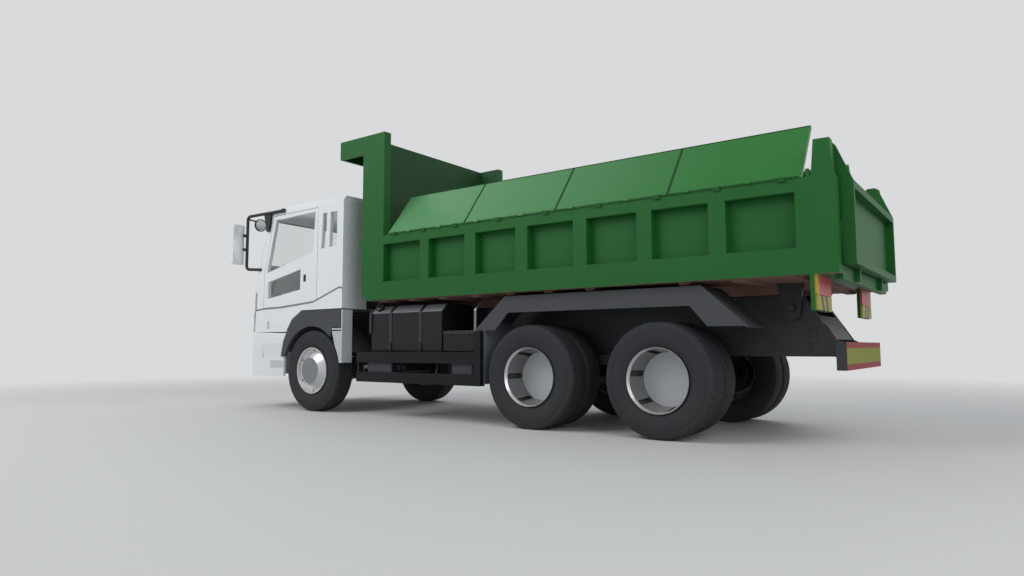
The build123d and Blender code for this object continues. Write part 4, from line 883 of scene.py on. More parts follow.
# ------------------------------------------------------------------ wheels
@dataclass
class Tyres:
    """The tyres of one hub: ribbed tread, shoulder slots and ringed walls."""

    node: str
    body: str
    axle_x: float
    side: Side
    spans: tuple[tuple[float, float], ...]      # inner and outer side of each tyre, by |Y|
    axle_z: float = 525.0
    bead_end: float = 301.0     # the shaded ring round the rim ends here
    crown_r: float = 525.0
    crown_drop: float = 3.0
    wall_arc: tuple[tuple[float, float], ...] = ((28, 292), (2, 385), (12, 490))    # depth and radius
    wall_stops: tuple[float, ...] = (292, 300, 302, 306, 308, 330, 355, 385, 415, 440, 447, 449, 453, 455,
                                     472, 490)
    ring_radii: tuple[float, ...] = (302, 306, 449, 453)
    ring_depth: float = 2.5
    shoulder: tuple[tuple[float, float], ...] = ((14.5, 500.0), (20.0, 511.0), (28.0, 518.5), (38.0, 522.0))
    groove_shares: tuple[float, ...] = (0.15, 0.38, 0.62, 0.85)
    groove_width: float = 9.0
    groove_depth: float = 12.0
    segments: int = 176
    slot_every: int = 4
    slot_depth: float = 5.0

    def wall(self) -> list[tuple[float, float]]:
        """Draws the wall from the bead outwards.

        Returns:
            Depths from the tyre's side, each with its radius.
        """
        middle, centre_r, radius = circle_through(*self.wall_arc)
        points = []
        for stop in self.wall_stops:
            depth = middle - math.sqrt(radius ** 2 - (stop - centre_r) ** 2)
            points.append((depth + (self.ring_depth if stop in self.ring_radii else 0.0), stop))
        return points

    def section(self, inner: float, outer: float) -> list[tuple[float, float]]:
        """Finds the closed outline of one tyre.

        Args:
            inner: Its inner side.
            outer: Its outer side.

        Returns:
            Places across the tyre, each with its radius.
        """
        edge = self.wall() + list(self.shoulder)
        first, last = inner + edge[-1][0], outer - edge[-1][0]
        middle, half = (first + last) / 2, (last - first) / 2
        tread = []
        for share in self.groove_shares:
            groove = first + share * (last - first)
            for way, floor in ((-1, 0), (-0.8, 1), (0.8, 1), (1, 0)):
                y = groove + way * self.groove_width / 2
                tread.append((y, self.crown_r - self.crown_drop * ((y - middle) / half) ** 2
                              - floor * self.groove_depth))
        return ([(inner + depth, r) for depth, r in edge] + tread
                + [(outer - depth, r) for depth, r in reversed(edge)])

    def cut_slots(self, shape: Shape) -> None:
        """Sinks the shoulder slots.

        Args:
            shape: The spun tyres.
        """
        bm, step = shape.bm, FULL_TURN / self.segments
        bmesh.ops.recalc_face_normals(bm, faces=bm.faces)
        sunk = []
        for face in bm.faces:
            middle = face.calc_center_median()
            across, up = middle.x - self.axle_x, middle.z - self.axle_z
            column = math.floor(math.atan2(across, up) / step + 1e-6)
            on_shoulder = self.shoulder[1][1] < math.hypot(across, up) < self.shoulder[3][1]
            if on_shoulder and column % self.slot_every == 0:
                sunk.append(face)
        bmesh.ops.inset_region(bm, faces=sunk, thickness=1.0, depth=-self.slot_depth, use_even_offset=True)

    def build(self) -> None:
        """Makes the tyres in place of their CAD node."""
        shape = Shape()
        for inner, outer in self.spans:
            shape.turned(self.section(inner, outer), (self.axle_x, 0, self.axle_z), (0, self.side.value, 0),
                         self.segments)
        self.cut_slots(shape)
        # painted shade: a dark ring on the tyre round the rim
        shape.paint(1, lambda m, n: math.hypot(m.x - self.axle_x, m.z - self.axle_z) < self.bead_end)
        place_piece(f"ribbed_{self.node}", shape, [TYRE_RUBBER, BEAD_SHADE_PAINT], self.body,
                    [self.node])


@dataclass
class Wheels:
    """All wheels: their tyres and the finishes of their rims."""

    axle_z: float = 525.0
    front_x: float = 2480.0
    rear_axles: tuple[tuple[str, float], ...] = (("mid", -970.0), ("rear", -2360.0))
    front_span: tuple[float, float] = (895, 1170)
    dual_spans: tuple[tuple[float, float], ...] = ((920, 1190), (620, 890))
    # places across the truck and radii that hold the parts of a rim
    cap_y: float = 1190.0           # the front cap's flat face lies beyond this
    hole_y: float = 1095.0          # the front disc's holes lie beyond this
    hole_radii: tuple[float, float] = (251.5, 274.5)
    front_drum: tuple[float, float] = (1075.0, 212.0)
    barrel_y: tuple[float, float] = (932.0, 1156.0)
    barrel_r: float = 283.0
    disc_y: tuple[float, float] = (920.0, 930.0)
    disc_r: float = 249.0
    pocket_y: tuple[float, float] = (936.0, 1152.0)
    pocket_radii: tuple[float, float] = (281.0, 288.0)
    dual_drum: tuple[float, float] = (891.0, 232.0)

    def build(self) -> None:
        """Builds every wheel."""
        for side in Side:
            Tyres(f"tyre_front_{side.label}", f"wheel_front_{side.label}", self.front_x, side,
                  (self.front_span,)).build()
            self.dress_front(side)
            for place, x in self.rear_axles:
                name = f"{place}_{side.label}"
                Tyres(f"tyres_{name}", f"wheels_{name}", x, side, self.dual_spans).build()
                self.dress_dual(side, name, x)

    def dress_front(self, side: Side) -> None:
        """Gives a front rim its cap and hole walls in painted shade, and its bright cone.

        Args:
            side: The rim's side.
        """
        node, x = f"rim_front_{side.label}", self.front_x
        drum_y, drum_r = self.front_drum
        # painted shade: the cap's flat face in darker grey
        zone(node, SHADED_CAP_ENAMEL, lambda m, n: abs(m.y) > self.cap_y and abs(n.y) > FACING)
        # painted shade: the walls of the disc's holes in black
        zone(node, CHASSIS_ENAMEL_AND_HOLE_SHADE, lambda m, n: self.hole_radii[0] < self.radius(m, x) < self.hole_radii[1]
             and abs(n.y) < 0.1 and abs(m.y) > self.hole_y)
        zone(node, CHASSIS_ENAMEL_AND_HOLE_SHADE, lambda m, n: abs(m.y) < drum_y and self.radius(m, x) < drum_r)

    def dress_dual(self, side: Side, name: str, x: float) -> None:
        """Gives a twin rim its satin disc, pockets in painted shade and dark drum.

        Args:
            side: The rim's side.
            name: The hub's place and side, as the nodes spell them.
            x: The axle's X.
        """
        node = f"rims_{name}"
        drum_y, drum_r = self.dual_drum
        zone(node, BARREL_STEEL, lambda m, n: self.barrel_y[0] < abs(m.y) < self.barrel_y[1]
             and self.radius(m, x) < self.barrel_r and abs(n.y) < 0.6)
        zone(node, DISC_STEEL, lambda m, n: self.disc_y[0] < abs(m.y) < self.disc_y[1]
             and abs(n.y) > FACING and self.radius(m, x) < self.disc_r)
        # painted shade: the rim's pockets in dull brown-grey
        zone(node, POCKET_SHADE, lambda m, n: self.pocket_y[0] < abs(m.y) < self.pocket_y[1]
             and (self.radius(m, x) > self.pocket_radii[0] or abs(n.y) > 0.5 or self.across(m, n, x) > 0.6)
             and self.radius(m, x) < self.pocket_radii[1])
        zone(node, CHASSIS_ENAMEL_AND_HOLE_SHADE, lambda m, n: abs(m.y) < drum_y and self.radius(m, x) < drum_r)

    def radius(self, middle: Vector, x: float) -> float:
        """Returns how far a face is from the axis of the wheel at X."""
        return math.hypot(middle.x - x, middle.z - self.axle_z)

    def across(self, middle: Vector, normal: Vector, x: float) -> float:
        """Returns how far a normal turns round the wheel, from 0 where it points along a radius to 1."""
        out = Vector((middle.x - x, 0, middle.z - self.axle_z)).normalized()
        return abs(out.cross(normal).y)


# ------------------------------------------------------------------ cab
@dataclass
class CabTrim:
    """What the bare cab lacks: window rubber, wipers, mirror glasses, handles and lenses."""

    screen_half: float = 1000.0
    screen_z: tuple[float, float] = (1990.0, 2630.0)
    screen_depth: float = 19.0
    rubber_r: float = 9.0
    wiper_feet: tuple[float, ...] = (-760.0, -80.0)
    wiper_reach: float = 760.0
    spindle_z: float = 1955.0
    blade_z: float = 2040.0
    spindle_radii: tuple[float, float] = (17.0, 12.0)
    arm_r: float = 7.0
    blade_r: float = 6.0
    blade_inset: float = -20.0      # depth under the skin; negative is ahead of it
    lip_r: float = 3.0
    lip_inset: float = 6.0
    mirror_y: float = 1356.0
    mirror_z: float = 2279.0
    mirror_size: tuple[float, float] = (78.0, 277.0)        # half width and half height of the glass
    mirror_x: float = 3920.0
    head_face: tuple[float, float] = (1266.0, 3915.0)       # a head's enamelled face is beyond this Y and X
    kerb_mirror: Point = (3881.5, 1030.0, 2600.0)           # middle of the round mirror over the windscreen
    kerb_profile: tuple[tuple[float, float], ...] = ((0, 0), (2.5, 60), (5, 81), (6, 81), (6, 0))
    handle_x: tuple[float, float] = (2608.0, 2665.0)
    handle_z: tuple[float, float] = (1690.0, 1786.0)
    handle_y: tuple[float, ...] = (1170.0, 1173.5, 1187.0)  # back and front of the plate, front of the grips
    slit_x: tuple[float, float] = (3390.0, 3424.0)
    slit_y: tuple[float, float] = (1179.0, 1185.0)
    slit_z: tuple[float, float] = (1082.0, 1184.0)
    crease_y: tuple[float, float] = (1179.0, 1188.5)
    crease_top: float = 1600.0

    def build(self) -> None:
        """Builds the trim and dresses the mirrors."""
        self.screen_rubber()
        self.wipers()
        self.mirror_glasses()
        self.marker_lenses()
        for side in Side:
            self.handle(side)
            self.crease_shade(f"door_{side.label}")
        self.crease_shade("cab_shell")
        zone("mirrors", CAB_ENAMEL, lambda m, n: abs(m.y) > self.head_face[0] and m.x > self.head_face[1])

    def crease_shade(self, node: str) -> None:
        """Paints the pressed crease and the marker slit grey as painted shade.

        Args:
            node: The panel's node.
        """
        # painted shade: the crease's faces and the marker slit in grey
        zone(node, CREASE_SHADE_PAINT, lambda m, n: self.crease_y[0] < abs(m.y) < self.crease_y[1]
             and m.z < self.crease_top)

    def screen_rubber(self) -> None:
        """Lays the windscreen's rubber along the edge of the glass."""
        low, high = self.screen_z[0] + self.rubber_r, self.screen_z[1] - self.rubber_r
        half = self.screen_half - self.rubber_r
        ways = [-1 + 2 * step / 16 for step in range(17)]
        path = [cab_front(half * way, low, self.screen_depth) for way in ways]
        path += [cab_front(half * way, high, self.screen_depth) for way in reversed(ways)]
        shape = Shape().tube(path + [path[0]], self.rubber_r, 8)
        place_piece("windscreen_rubber", shape, [SEAL_RUBBER], "cab")

    def wipers(self) -> None:
        """Parks two wipers along the foot of the windscreen."""
        shape = Shape()
        for foot in self.wiper_feet:
            spindle = Vector(cab_front(foot, self.spindle_z))
            ahead = Vector((1.0, 0.0, 0.27)).normalized()
            shape.rod(spindle - ahead * 12, spindle + ahead * 34, *self.spindle_radii, 16, 2)
            shape.tube([spindle + ahead * 26, cab_front(foot + 60, self.spindle_z + 17, -36.0),
                        cab_front(foot + self.wiper_reach * 0.35, self.spindle_z + 51, -38.0),
                        cab_front(foot + self.wiper_reach * 0.62, self.blade_z, -30.0)], self.arm_r, 8)
            places = [foot + 90 + (self.wiper_reach - 60) * step / 10 for step in range(11)]
            for radius, inset in ((self.blade_r, self.blade_inset), (self.lip_r, self.lip_inset)):
                shape.tube([cab_front(y, self.blade_z, inset) for y in places], radius, 6)
            for y in places[1::2]:
                shape.rod(cab_front(y, self.blade_z, self.lip_inset),
                          cab_front(y, self.blade_z, self.blade_inset - 2), 4.0, segments=6)
        place_piece("wipers", shape, [TRIM_BLACK], "cab")

    def mirror_glasses(self) -> None:
        """Sets the glasses into the heads of the side mirrors and the round mirror."""
        shape = Shape()
        half_y, half_z = self.mirror_size
        for side in Side:
            y = side.value * self.mirror_y
            shape.box((self.mirror_x + 1.5, y - half_y, self.mirror_z - half_z),
                      (self.mirror_x + 5.5, y + half_y, self.mirror_z + half_z), 1.5, 2)
        shape.turned(self.kerb_profile, self.kerb_mirror, (1, 0, 0))
        place_piece("mirror_glasses", shape, [MIRROR_GLASS], "cab")

    def marker_lenses(self) -> None:
        """Fills the marker slits with their lenses."""
        shape = Shape()
        for side in Side:
            shape.box((self.slit_x[0], side.value * self.slit_y[0], self.slit_z[0]),
                      (self.slit_x[1], side.value * self.slit_y[1], self.slit_z[1]), 2.0, 2)
        place_piece("marker_lenses", shape, [MILKY_LENS], "cab")

    def handle(self, side: Side) -> None:
        """Puts a pull handle into a door's pocket.

        Args:
            side: The door's side.
        """
        (near, far), (low, high) = self.handle_x, self.handle_z
        back, plate, grip = (side.value * y for y in self.handle_y)
        foot = plate - side.value * 0.5
        shape = Shape().box((near + 1, back, low + 1), (far - 1, plate, high - 1), 1.0)
        for x_from, x_to, z_from, z_to in ((near + 8, far - 8, high - 26, high - 6),
                                           (near + 8, far - 8, low + 6, low + 22),
                                           (far - 24, far - 8, low + 14, high - 18)):
            shape.box((x_from, foot, z_from), (x_to, grip, z_to), 4.0, 2)
        place_piece(f"door_handle_{side.label}", shape, [TRIM_BLACK], f"door_{side.label}")


@dataclass
class FrontTrim:
    """Mesh behind the grille, and the reflectors of the headlamps."""

    mesh_half: float = 648.0
    mesh_z: tuple[float, float] = (1172.0, 1448.0)
    mesh_depth: float = 26.0
    gaps: tuple[int, int] = (64, 26)        # meshes across and up
    wire_r: float = 1.6
    bowls: tuple[float, ...] = (716.0, 912.0)
    bowl_x: float = 3760.0
    bowl_profile: tuple[tuple[float, float], ...] = (
        (0, 20), (12, 44), (34, 66), (66, 82), (70, 82), (70, 88), (60, 84), (28, 70), (6, 48), (-4, 20))
    bulb_profile: tuple[tuple[float, float], ...] = ((0, 0), (0, 14), (30, 14), (42, 9), (46, 0))
    back_x: tuple[float, float] = (3752.0, 3758.0)
    side_lamp_x: float = 3400.0             # the small side lamps lie behind this
    lamp_z: float = 810.0
    lens_y: tuple[float, float] = (620.0, 1010.0)
    lens_z: tuple[float, float] = (720.0, 900.0)

    def build(self) -> None:
        """Builds the mesh and the lamps, and dresses the small side lamps."""
        self.grille_mesh()
        self.lamp_bowls()
        zone("headlamps", MILKY_LENS, lambda m, n: m.x < self.side_lamp_x)

    def grille_mesh(self) -> None:
        """Hangs a wire mesh behind the slots of the service panel."""
        shape = Shape()
        columns, rows = self.gaps
        foot, top = self.mesh_z
        for number in range(columns + 1):
            y = self.mesh_half * (2 * number / columns - 1)
            shape.rod(cab_front(y, foot, self.mesh_depth), cab_front(y, top, self.mesh_depth), self.wire_r,
                      segments=4)
        ways = [-1 + step / 6 for step in range(13)]
        for number in range(rows + 1):
            z = foot + (top - foot) * number / rows
            shape.tube([cab_front(self.mesh_half * way, z, self.mesh_depth) for way in ways], self.wire_r, 4)
        backing = [cab_front(self.mesh_half * way, foot, self.mesh_depth + 8) for way in ways]
        outline = backing + [(x - 6, y, z) for x, y, z in reversed(backing)]
        shape.prism(outline, (-8, 0, top - foot))
        # painted shade: the backing sheet behind the mesh in dull brown-grey
        shape.paint(1, lambda m, n: m.x < cab_front(m.y, m.z, self.mesh_depth + 4)[0])
        place_piece("grille_mesh", shape, [TRIM_BLACK, POCKET_SHADE], "service_panel")

    def lamp_bowls(self) -> None:
        """Builds the housings, reflectors and bulbs behind the headlamp lenses."""
        shape = Shape()
        for side in Side:
            near, far = (side.value * y for y in self.lens_y)
            shape.box((self.back_x[0], near, self.lens_z[0]), (self.back_x[1], far, self.lens_z[1]), 1.0)
        for face in shape.bm.faces:
            face.material_index = 1
        for side in Side:
            for y in self.bowls:
                origin = (self.bowl_x, side.value * y, self.lamp_z)
                shape.turned(self.bowl_profile, origin, (1, 0, 0), 40)
                shape.turned(self.bulb_profile, origin, (1, 0, 0), 20)
        place_piece("headlamp_reflectors", shape, [CHROME, TRIM_BLACK], "chassis")


@dataclass
class Seats:
    """Two seats with stuffed pads, on the places of the CAD pads."""

    seat_y: tuple[float, float] = (560.0, -560.0)
    lift: float = 20.0              # how far the start shape stays inside the finished pad
    voxel: float = 0.008
    frames: int = 20
    pressure: float = 4.0
    reach: float = 0.024            # how far the cloth may leave the start shape, in metres
    edge_round: float = 22.0
    seam: float = 0.012             # depth and half width of a sewn channel, in metres
    # side outline of each pad, half width, places of its sewn channels from 0 to 1 along the pad
    pads: tuple[tuple[str, tuple[tuple[float, float], ...], float, tuple[float, ...]], ...] = (
        ("cushion", ((2390, 1570), (2390, 1695), (2950, 1695), (2950, 1570)), 250, (0.3, 0.62)),
        ("backrest", ((2445, 1640), (2352, 2215), (2255, 2215), (2325, 1640)), 240, (0.32, 0.64)),
        ("headrest", ((2346, 2200), (2322, 2400), (2240, 2395), (2262, 2200)), 130, ()),
    )

    def build(self) -> None:
        """Builds the pads of both seats."""
        for name, outline, half, channels in self.pads:
            mesh = self.swollen(name, outline, half, channels)
            for side, y in zip(Side, self.seat_y):
                copy = mesh.copy()
                copy.transform(Matrix.Translation((0, y * MM, 0)))
                obj = add_object(f"seat_{name}_{side.label}", copy)
                copy.materials.clear()
                copy.materials.append(SEAT_CLOTH.material())
                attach(obj, "cab")
            log.info("seat %s, %d faces each", name, len(mesh.polygons))
        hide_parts("seats")

    def swollen(self, name: str, outline: Sequence[tuple[float, float]], half: float,
                channels: Sequence[float]) -> bpy.types.Mesh:
        """Blows a pad up as cloth and sews its channels.

        Args:
            name: The pad's name.
            outline: Its side outline, X and Z.
            half: Half its width.
            channels: Places of the sewn channels, from 0 to 1 along the pad.

        Returns:
            The finished mesh, in metres, in the middle of the truck.
        """
        middle_x = sum(x for x, _ in outline) / len(outline)
        middle_z = sum(z for _, z in outline) / len(outline)
        long_x = max(x for x, _ in outline) - min(x for x, _ in outline)
        long_z = max(z for _, z in outline) - min(z for _, z in outline)
        drawn = [(middle_x + (x - middle_x) * (1 - 2 * self.lift / long_x), half - self.lift,
                  middle_z + (z - middle_z) * (1 - 2 * self.lift / long_z)) for x, z in outline]
        shape = Shape().prism(drawn, (0, -2 * (half - self.lift), 0))
        bmesh.ops.recalc_face_normals(shape.bm, faces=shape.bm.faces)
        shape.soften(shape.bm.verts, self.edge_round, 3)
        obj = add_object(f"{name}_blank", shape.mesh(name))
        remesh = obj.modifiers.new("remesh", "REMESH")
        remesh.mode = "VOXEL"
        remesh.voxel_size = self.voxel
        mesh = self.applied(obj)
        start = [vert.co.copy() for vert in mesh.vertices]
        self.inflate(obj, mesh)
        mesh = self.applied(obj)
        for vert, rest in zip(mesh.vertices, start):
            move = vert.co - rest
            if move.length > self.reach:
                vert.co = rest + move.normalized() * self.reach
        axis = 2 if long_z > long_x else 0
        low = min(rest[axis] for rest in start)
        high = max(rest[axis] for rest in start)
        normals = [vert.normal.copy() for vert in mesh.vertices]
        for vert, normal in zip(mesh.vertices, normals):
            place = (vert.co[axis] - low) / (high - low)
            press = sum(math.exp(-((place - channel) * (high - low) / self.seam) ** 2)
                        for channel in channels)
            vert.co -= normal * self.seam * press
        bpy.data.objects.remove(obj)
        blank = add_object(f"{name}_smooth", mesh)
        smooth = blank.modifiers.new("smooth", "SUBSURF")
        smooth.levels = smooth.render_levels = 1
        mesh = self.applied(blank)
        bpy.data.objects.remove(blank)
        mesh.shade_smooth()
        return mesh

    def inflate(self, obj: bpy.types.Object, mesh: bpy.types.Mesh) -> None:
        """Runs the cloth on a blank.

        Args:
            obj: The blank's object.
            mesh: Its remeshed mesh.
        """
        obj.modifiers.clear()
        obj.data = mesh
        cloth = obj.modifiers.new("cloth", "CLOTH")
        cloth.settings.use_pressure = True
        cloth.settings.uniform_pressure_force = self.pressure
        cloth.settings.effector_weights.gravity = 0.0
        cloth.settings.quality = 4
        cloth.point_cache.frame_start = 1
        cloth.point_cache.frame_end = self.frames
        for number in range(1, self.frames + 1):
            bpy.context.scene.frame_set(number)
        bpy.context.view_layer.update()

    def applied(self, obj: bpy.types.Object) -> bpy.types.Mesh:
        """Returns the mesh that an object's modifiers make."""
        graph = bpy.context.evaluated_depsgraph_get()
        return bpy.data.meshes.new_from_object(obj.evaluated_get(graph), depsgraph=graph)


# ------------------------------------------------------------------ bed
@dataclass
class BedTrim:
    """Primer under the bed, its worn inside, the strips of the flaps and the screws of the tail lamps."""

    under_z: float = 1391.0
    plate_x: float = -3660.0        # the painted lamp plates lie behind this
    hanger_y: tuple[float, float] = (443.0, 477.0)
    hanger_x: tuple[float, float] = (-3450.0, -3222.0)
    load_z: float = 1455.0
    foot_z: float = 1480.0          # the underside of the walls lies below this
    wall_y: float = 1083.0
    headboard_x: float = 1490.0
    flap_x: tuple[float, float] = (-3634.0, 1072.0)
    flap_seams: tuple[float, ...] = (-114.0, -1299.0, -2492.0)
    flap_width: float = 660.0
    flap_lean: float = 37.2         # degrees inward from upright
    flap_pin: tuple[float, float] = (1201.0, 2177.0)        # Y and Z of the hinge pin
    flap_inset: float = 14.0        # from the pin's axis to the flap's outer face
    strip_half: float = 12.0
    screw_x: float = -3719.5
    screw_y: tuple[float, float] = (705.0, 1153.0)
    screw_z: tuple[float, float] = (1132.0, 1368.0)
    screw_profile: tuple[tuple[float, float], ...] = ((0, 0), (0, 8), (2, 6), (3, 0))

    def build(self) -> None:
        """Paints the faces and builds the strips and the screws."""
        zone("bed_floor", RED_PRIMER, lambda m, n: m.z < self.under_z and m.x > self.plate_x
             and not self.hangs(m))
        zone("bed_floor", CHASSIS_ENAMEL_AND_HOLE_SHADE, lambda m, n: self.hangs(m) and m.z < self.under_z - 2)
        zone("bed_floor", WORN_FLOOR, lambda m, n: n.z > FACING and m.z > self.load_z)
        for side in Side:
            node = f"bed_side_{side.label}"
            zone(node, RED_PRIMER, lambda m, n: n.z < -0.5 and m.z < self.foot_z)
            zone(node, WORN_WALL, lambda m, n: abs(n.y) > FACING and abs(m.y) < self.wall_y)
        zone("bed_headboard", WORN_WALL, lambda m, n: n.x < -FACING and m.x < self.headboard_x)
        self.flap_strips()
        self.lamp_screws()

    def hangs(self, middle: Vector) -> bool:
        """Tells whether a face belongs to the hangers of the rear hinge."""
        return (self.hanger_y[0] < abs(middle.y) < self.hanger_y[1]
                and self.hanger_x[0] < middle.x < self.hanger_x[1])

    def flap_strips(self) -> None:
        """Covers the joints between the panels of each flap, and its upper edge, with strips."""
        for side in Side:
            shape = Shape()
            for x in self.flap_seams:
                shape.box((x - self.strip_half, 6, -2), (x + self.strip_half, self.flap_width - 2, 3), 1.5)
            shape.box((self.flap_x[0] + 2, self.flap_width - 12, -2),
                      (self.flap_x[1] - 2, self.flap_width - 1, 3), 1.0)
            lean = math.radians(self.flap_lean)
            up = Vector((0, -side.value * math.sin(lean), math.cos(lean)))
            out = Vector((0, side.value * math.cos(lean), math.sin(lean)))
            foot = Vector((0, side.value * self.flap_pin[0], self.flap_pin[1])) - out * self.flap_inset
            turn = Matrix((Vector((1, 0, 0)), up, out)).transposed().to_4x4()
            bmesh.ops.transform(shape.bm, matrix=Matrix.Translation(foot) @ turn, verts=shape.bm.verts)
            place_piece(f"flap_strips_{side.label}", shape, [STRIP_ENAMEL], f"flap_{side.label}")

    def lamp_screws(self) -> None:
        """Adds the screws that hold the lens blocks."""
        shape = Shape()
        for side in Side:
            for y in self.screw_y:
                for z in self.screw_z:
                    shape.turned(self.screw_profile, (self.screw_x, side.value * y, z), (-1, 0, 0), 12)
        place_piece("lamp_screws", shape, [NUT_STEEL], "bed")


@dataclass
class TailReflector:
    """The long reflector board on the rear bumper, a yellow field in a red border."""

    x: float = -3839.0
    half: float = 809.0
    low: float = 628.0
    high: float = 860.0
    border: tuple[float, float] = (14.0, 50.0)      # at the ends, and above and below
    thickness: float = 3.0

    def build(self) -> None:
        """Builds the board and paints its field and border."""
        shape = Shape().box((self.x - self.thickness, -self.half, self.low),
                            (self.x + 1, self.half, self.high))
        end, band = self.border
        for middle, normal in (((0, self.half - end, 0), (0, 1, 0)), ((0, end - self.half, 0), (0, 1, 0)),
                               ((0, 0, self.low + band), (0, 0, 1)), ((0, 0, self.high - band), (0, 0, 1))):
            bmesh.ops.bisect_plane(shape.bm, geom=[*shape.bm.verts, *shape.bm.edges, *shape.bm.faces],
                                   plane_co=middle, plane_no=normal)
        shape.paint(1, lambda m, n: n.x < -FACING and abs(m.y) < self.half - end
                    and self.low + band < m.z < self.high - band)
        shape.paint(2, lambda m, n: n.x > -0.5)
        place_piece("reflector_board", shape, [REFLEX_RED, REFLEX_YELLOW, TRIM_BLACK], "chassis")


# ------------------------------------------------------------------ chassis
@dataclass
class ChassisHardware:
    """U-bolts of the springs and the bolt heads along the rails."""

    front_x: float = 2480.0
    bogie_x: float = -1665.0
    rail_y: float = 430.0
    cross_members: tuple[float, ...] = (3560, 960, 250, -2900, -3500)
    member_gap: float = 30.0        # from a cross member's middle to each row of its bolts
    bolt_z: tuple[float, ...] = (790, 850, 915, 975)
    bogie_bolt_x: tuple[float, ...] = (-1820, -1740, -1590, -1510)
    bogie_bolt_z: tuple[float, ...] = (800, 940)
    bracket_step: float = 28.0      # how far the bogie bracket stands out from the rail
    # inner and outer Y of the spring, height of the bend and of the lower ends
    front_bolts: tuple[float, ...] = (345.0, 425.0, 688.0, 372.0)
    rear_bolts: tuple[float, ...] = (470.0, 560.0, 774.0, 596.0)
    axle_gap: float = 62.0          # from the axle's middle to each U-bolt
    rod_r: float = 9.0
    bend_r: float = 14.0
    nut_r: float = 17.0
    nut_z: tuple[float, float] = (4.0, 20.0)        # above the lower ends
    plate_half: float = 85.0        # the plate under a front spring
    plate_edge: float = 24.0        # how far it stands out beside the spring
    plate_z: tuple[float, float] = (20.0, 34.0)     # above the lower ends
    heads: tuple[float, float] = (22.0, 26.0)       # width of the bolts on the rails and on the brackets

    def build(self) -> None:
        """Builds the hardware."""
        shape = Shape()
        for side in Side:
            for middle, sizes in ((self.front_x, self.front_bolts), (self.bogie_x, self.rear_bolts)):
                for x in (middle - self.axle_gap, middle + self.axle_gap):
                    self.u_bolt(shape, x, side, sizes)
            near, far, _, foot = self.front_bolts
            shape.box((self.front_x - self.plate_half, side.value * (near - self.plate_edge),
                       foot + self.plate_z[0]),
                      (self.front_x + self.plate_half, side.value * (far + self.plate_edge),
                       foot + self.plate_z[1]), 3.0)
        place_piece("spring_bolts", shape, [NUT_STEEL], "chassis")
        shape = Shape()
        for side in Side:
            sign = side.value
            for x in self.cross_members:
                for offset in (-self.member_gap, self.member_gap):
                    for z in self.bolt_z:
                        shape.bolt((x + offset, sign * self.rail_y, z), (0, sign, 0), self.heads[0])
            for x in self.bogie_bolt_x:
                for z in self.bogie_bolt_z:
                    shape.bolt((x, sign * (self.rail_y + self.bracket_step), z), (0, sign, 0),
                               self.heads[1])
        place_piece("rail_bolts", shape, [CHASSIS_ENAMEL_AND_HOLE_SHADE], "chassis")

    def u_bolt(self, shape: Shape, x: float, side: Side, sizes: Sequence[float]) -> None:
        """Adds one U-bolt over a spring, with its nuts.

        Args:
            shape: The mesh that takes it.
            x: Its place along the truck.
            side: The spring's side.
            sizes: Inner and outer Y of the spring, height of the bend and of the lower ends.
        """
        near, far, top, foot = sizes
        sign, gap = side.value, self.rod_r + 2
        y_in, y_out = sign * (near - gap), sign * (far + gap)
        corner, start = sign * self.bend_r, top - self.bend_r
        shape.tube([(x, y_in, foot), (x, y_in, start), (x, y_in + corner * 0.3, top - 4),
                    (x, y_in + corner, top), (x, y_out - corner, top), (x, y_out - corner * 0.3, top - 4),
                    (x, y_out, start), (x, y_out, foot)], self.rod_r, 10)
        low, high = (foot + z for z in self.nut_z)
        for y in (y_in, y_out):
            shape.rod((x, y, low), (x, y, high), self.nut_r, segments=6)


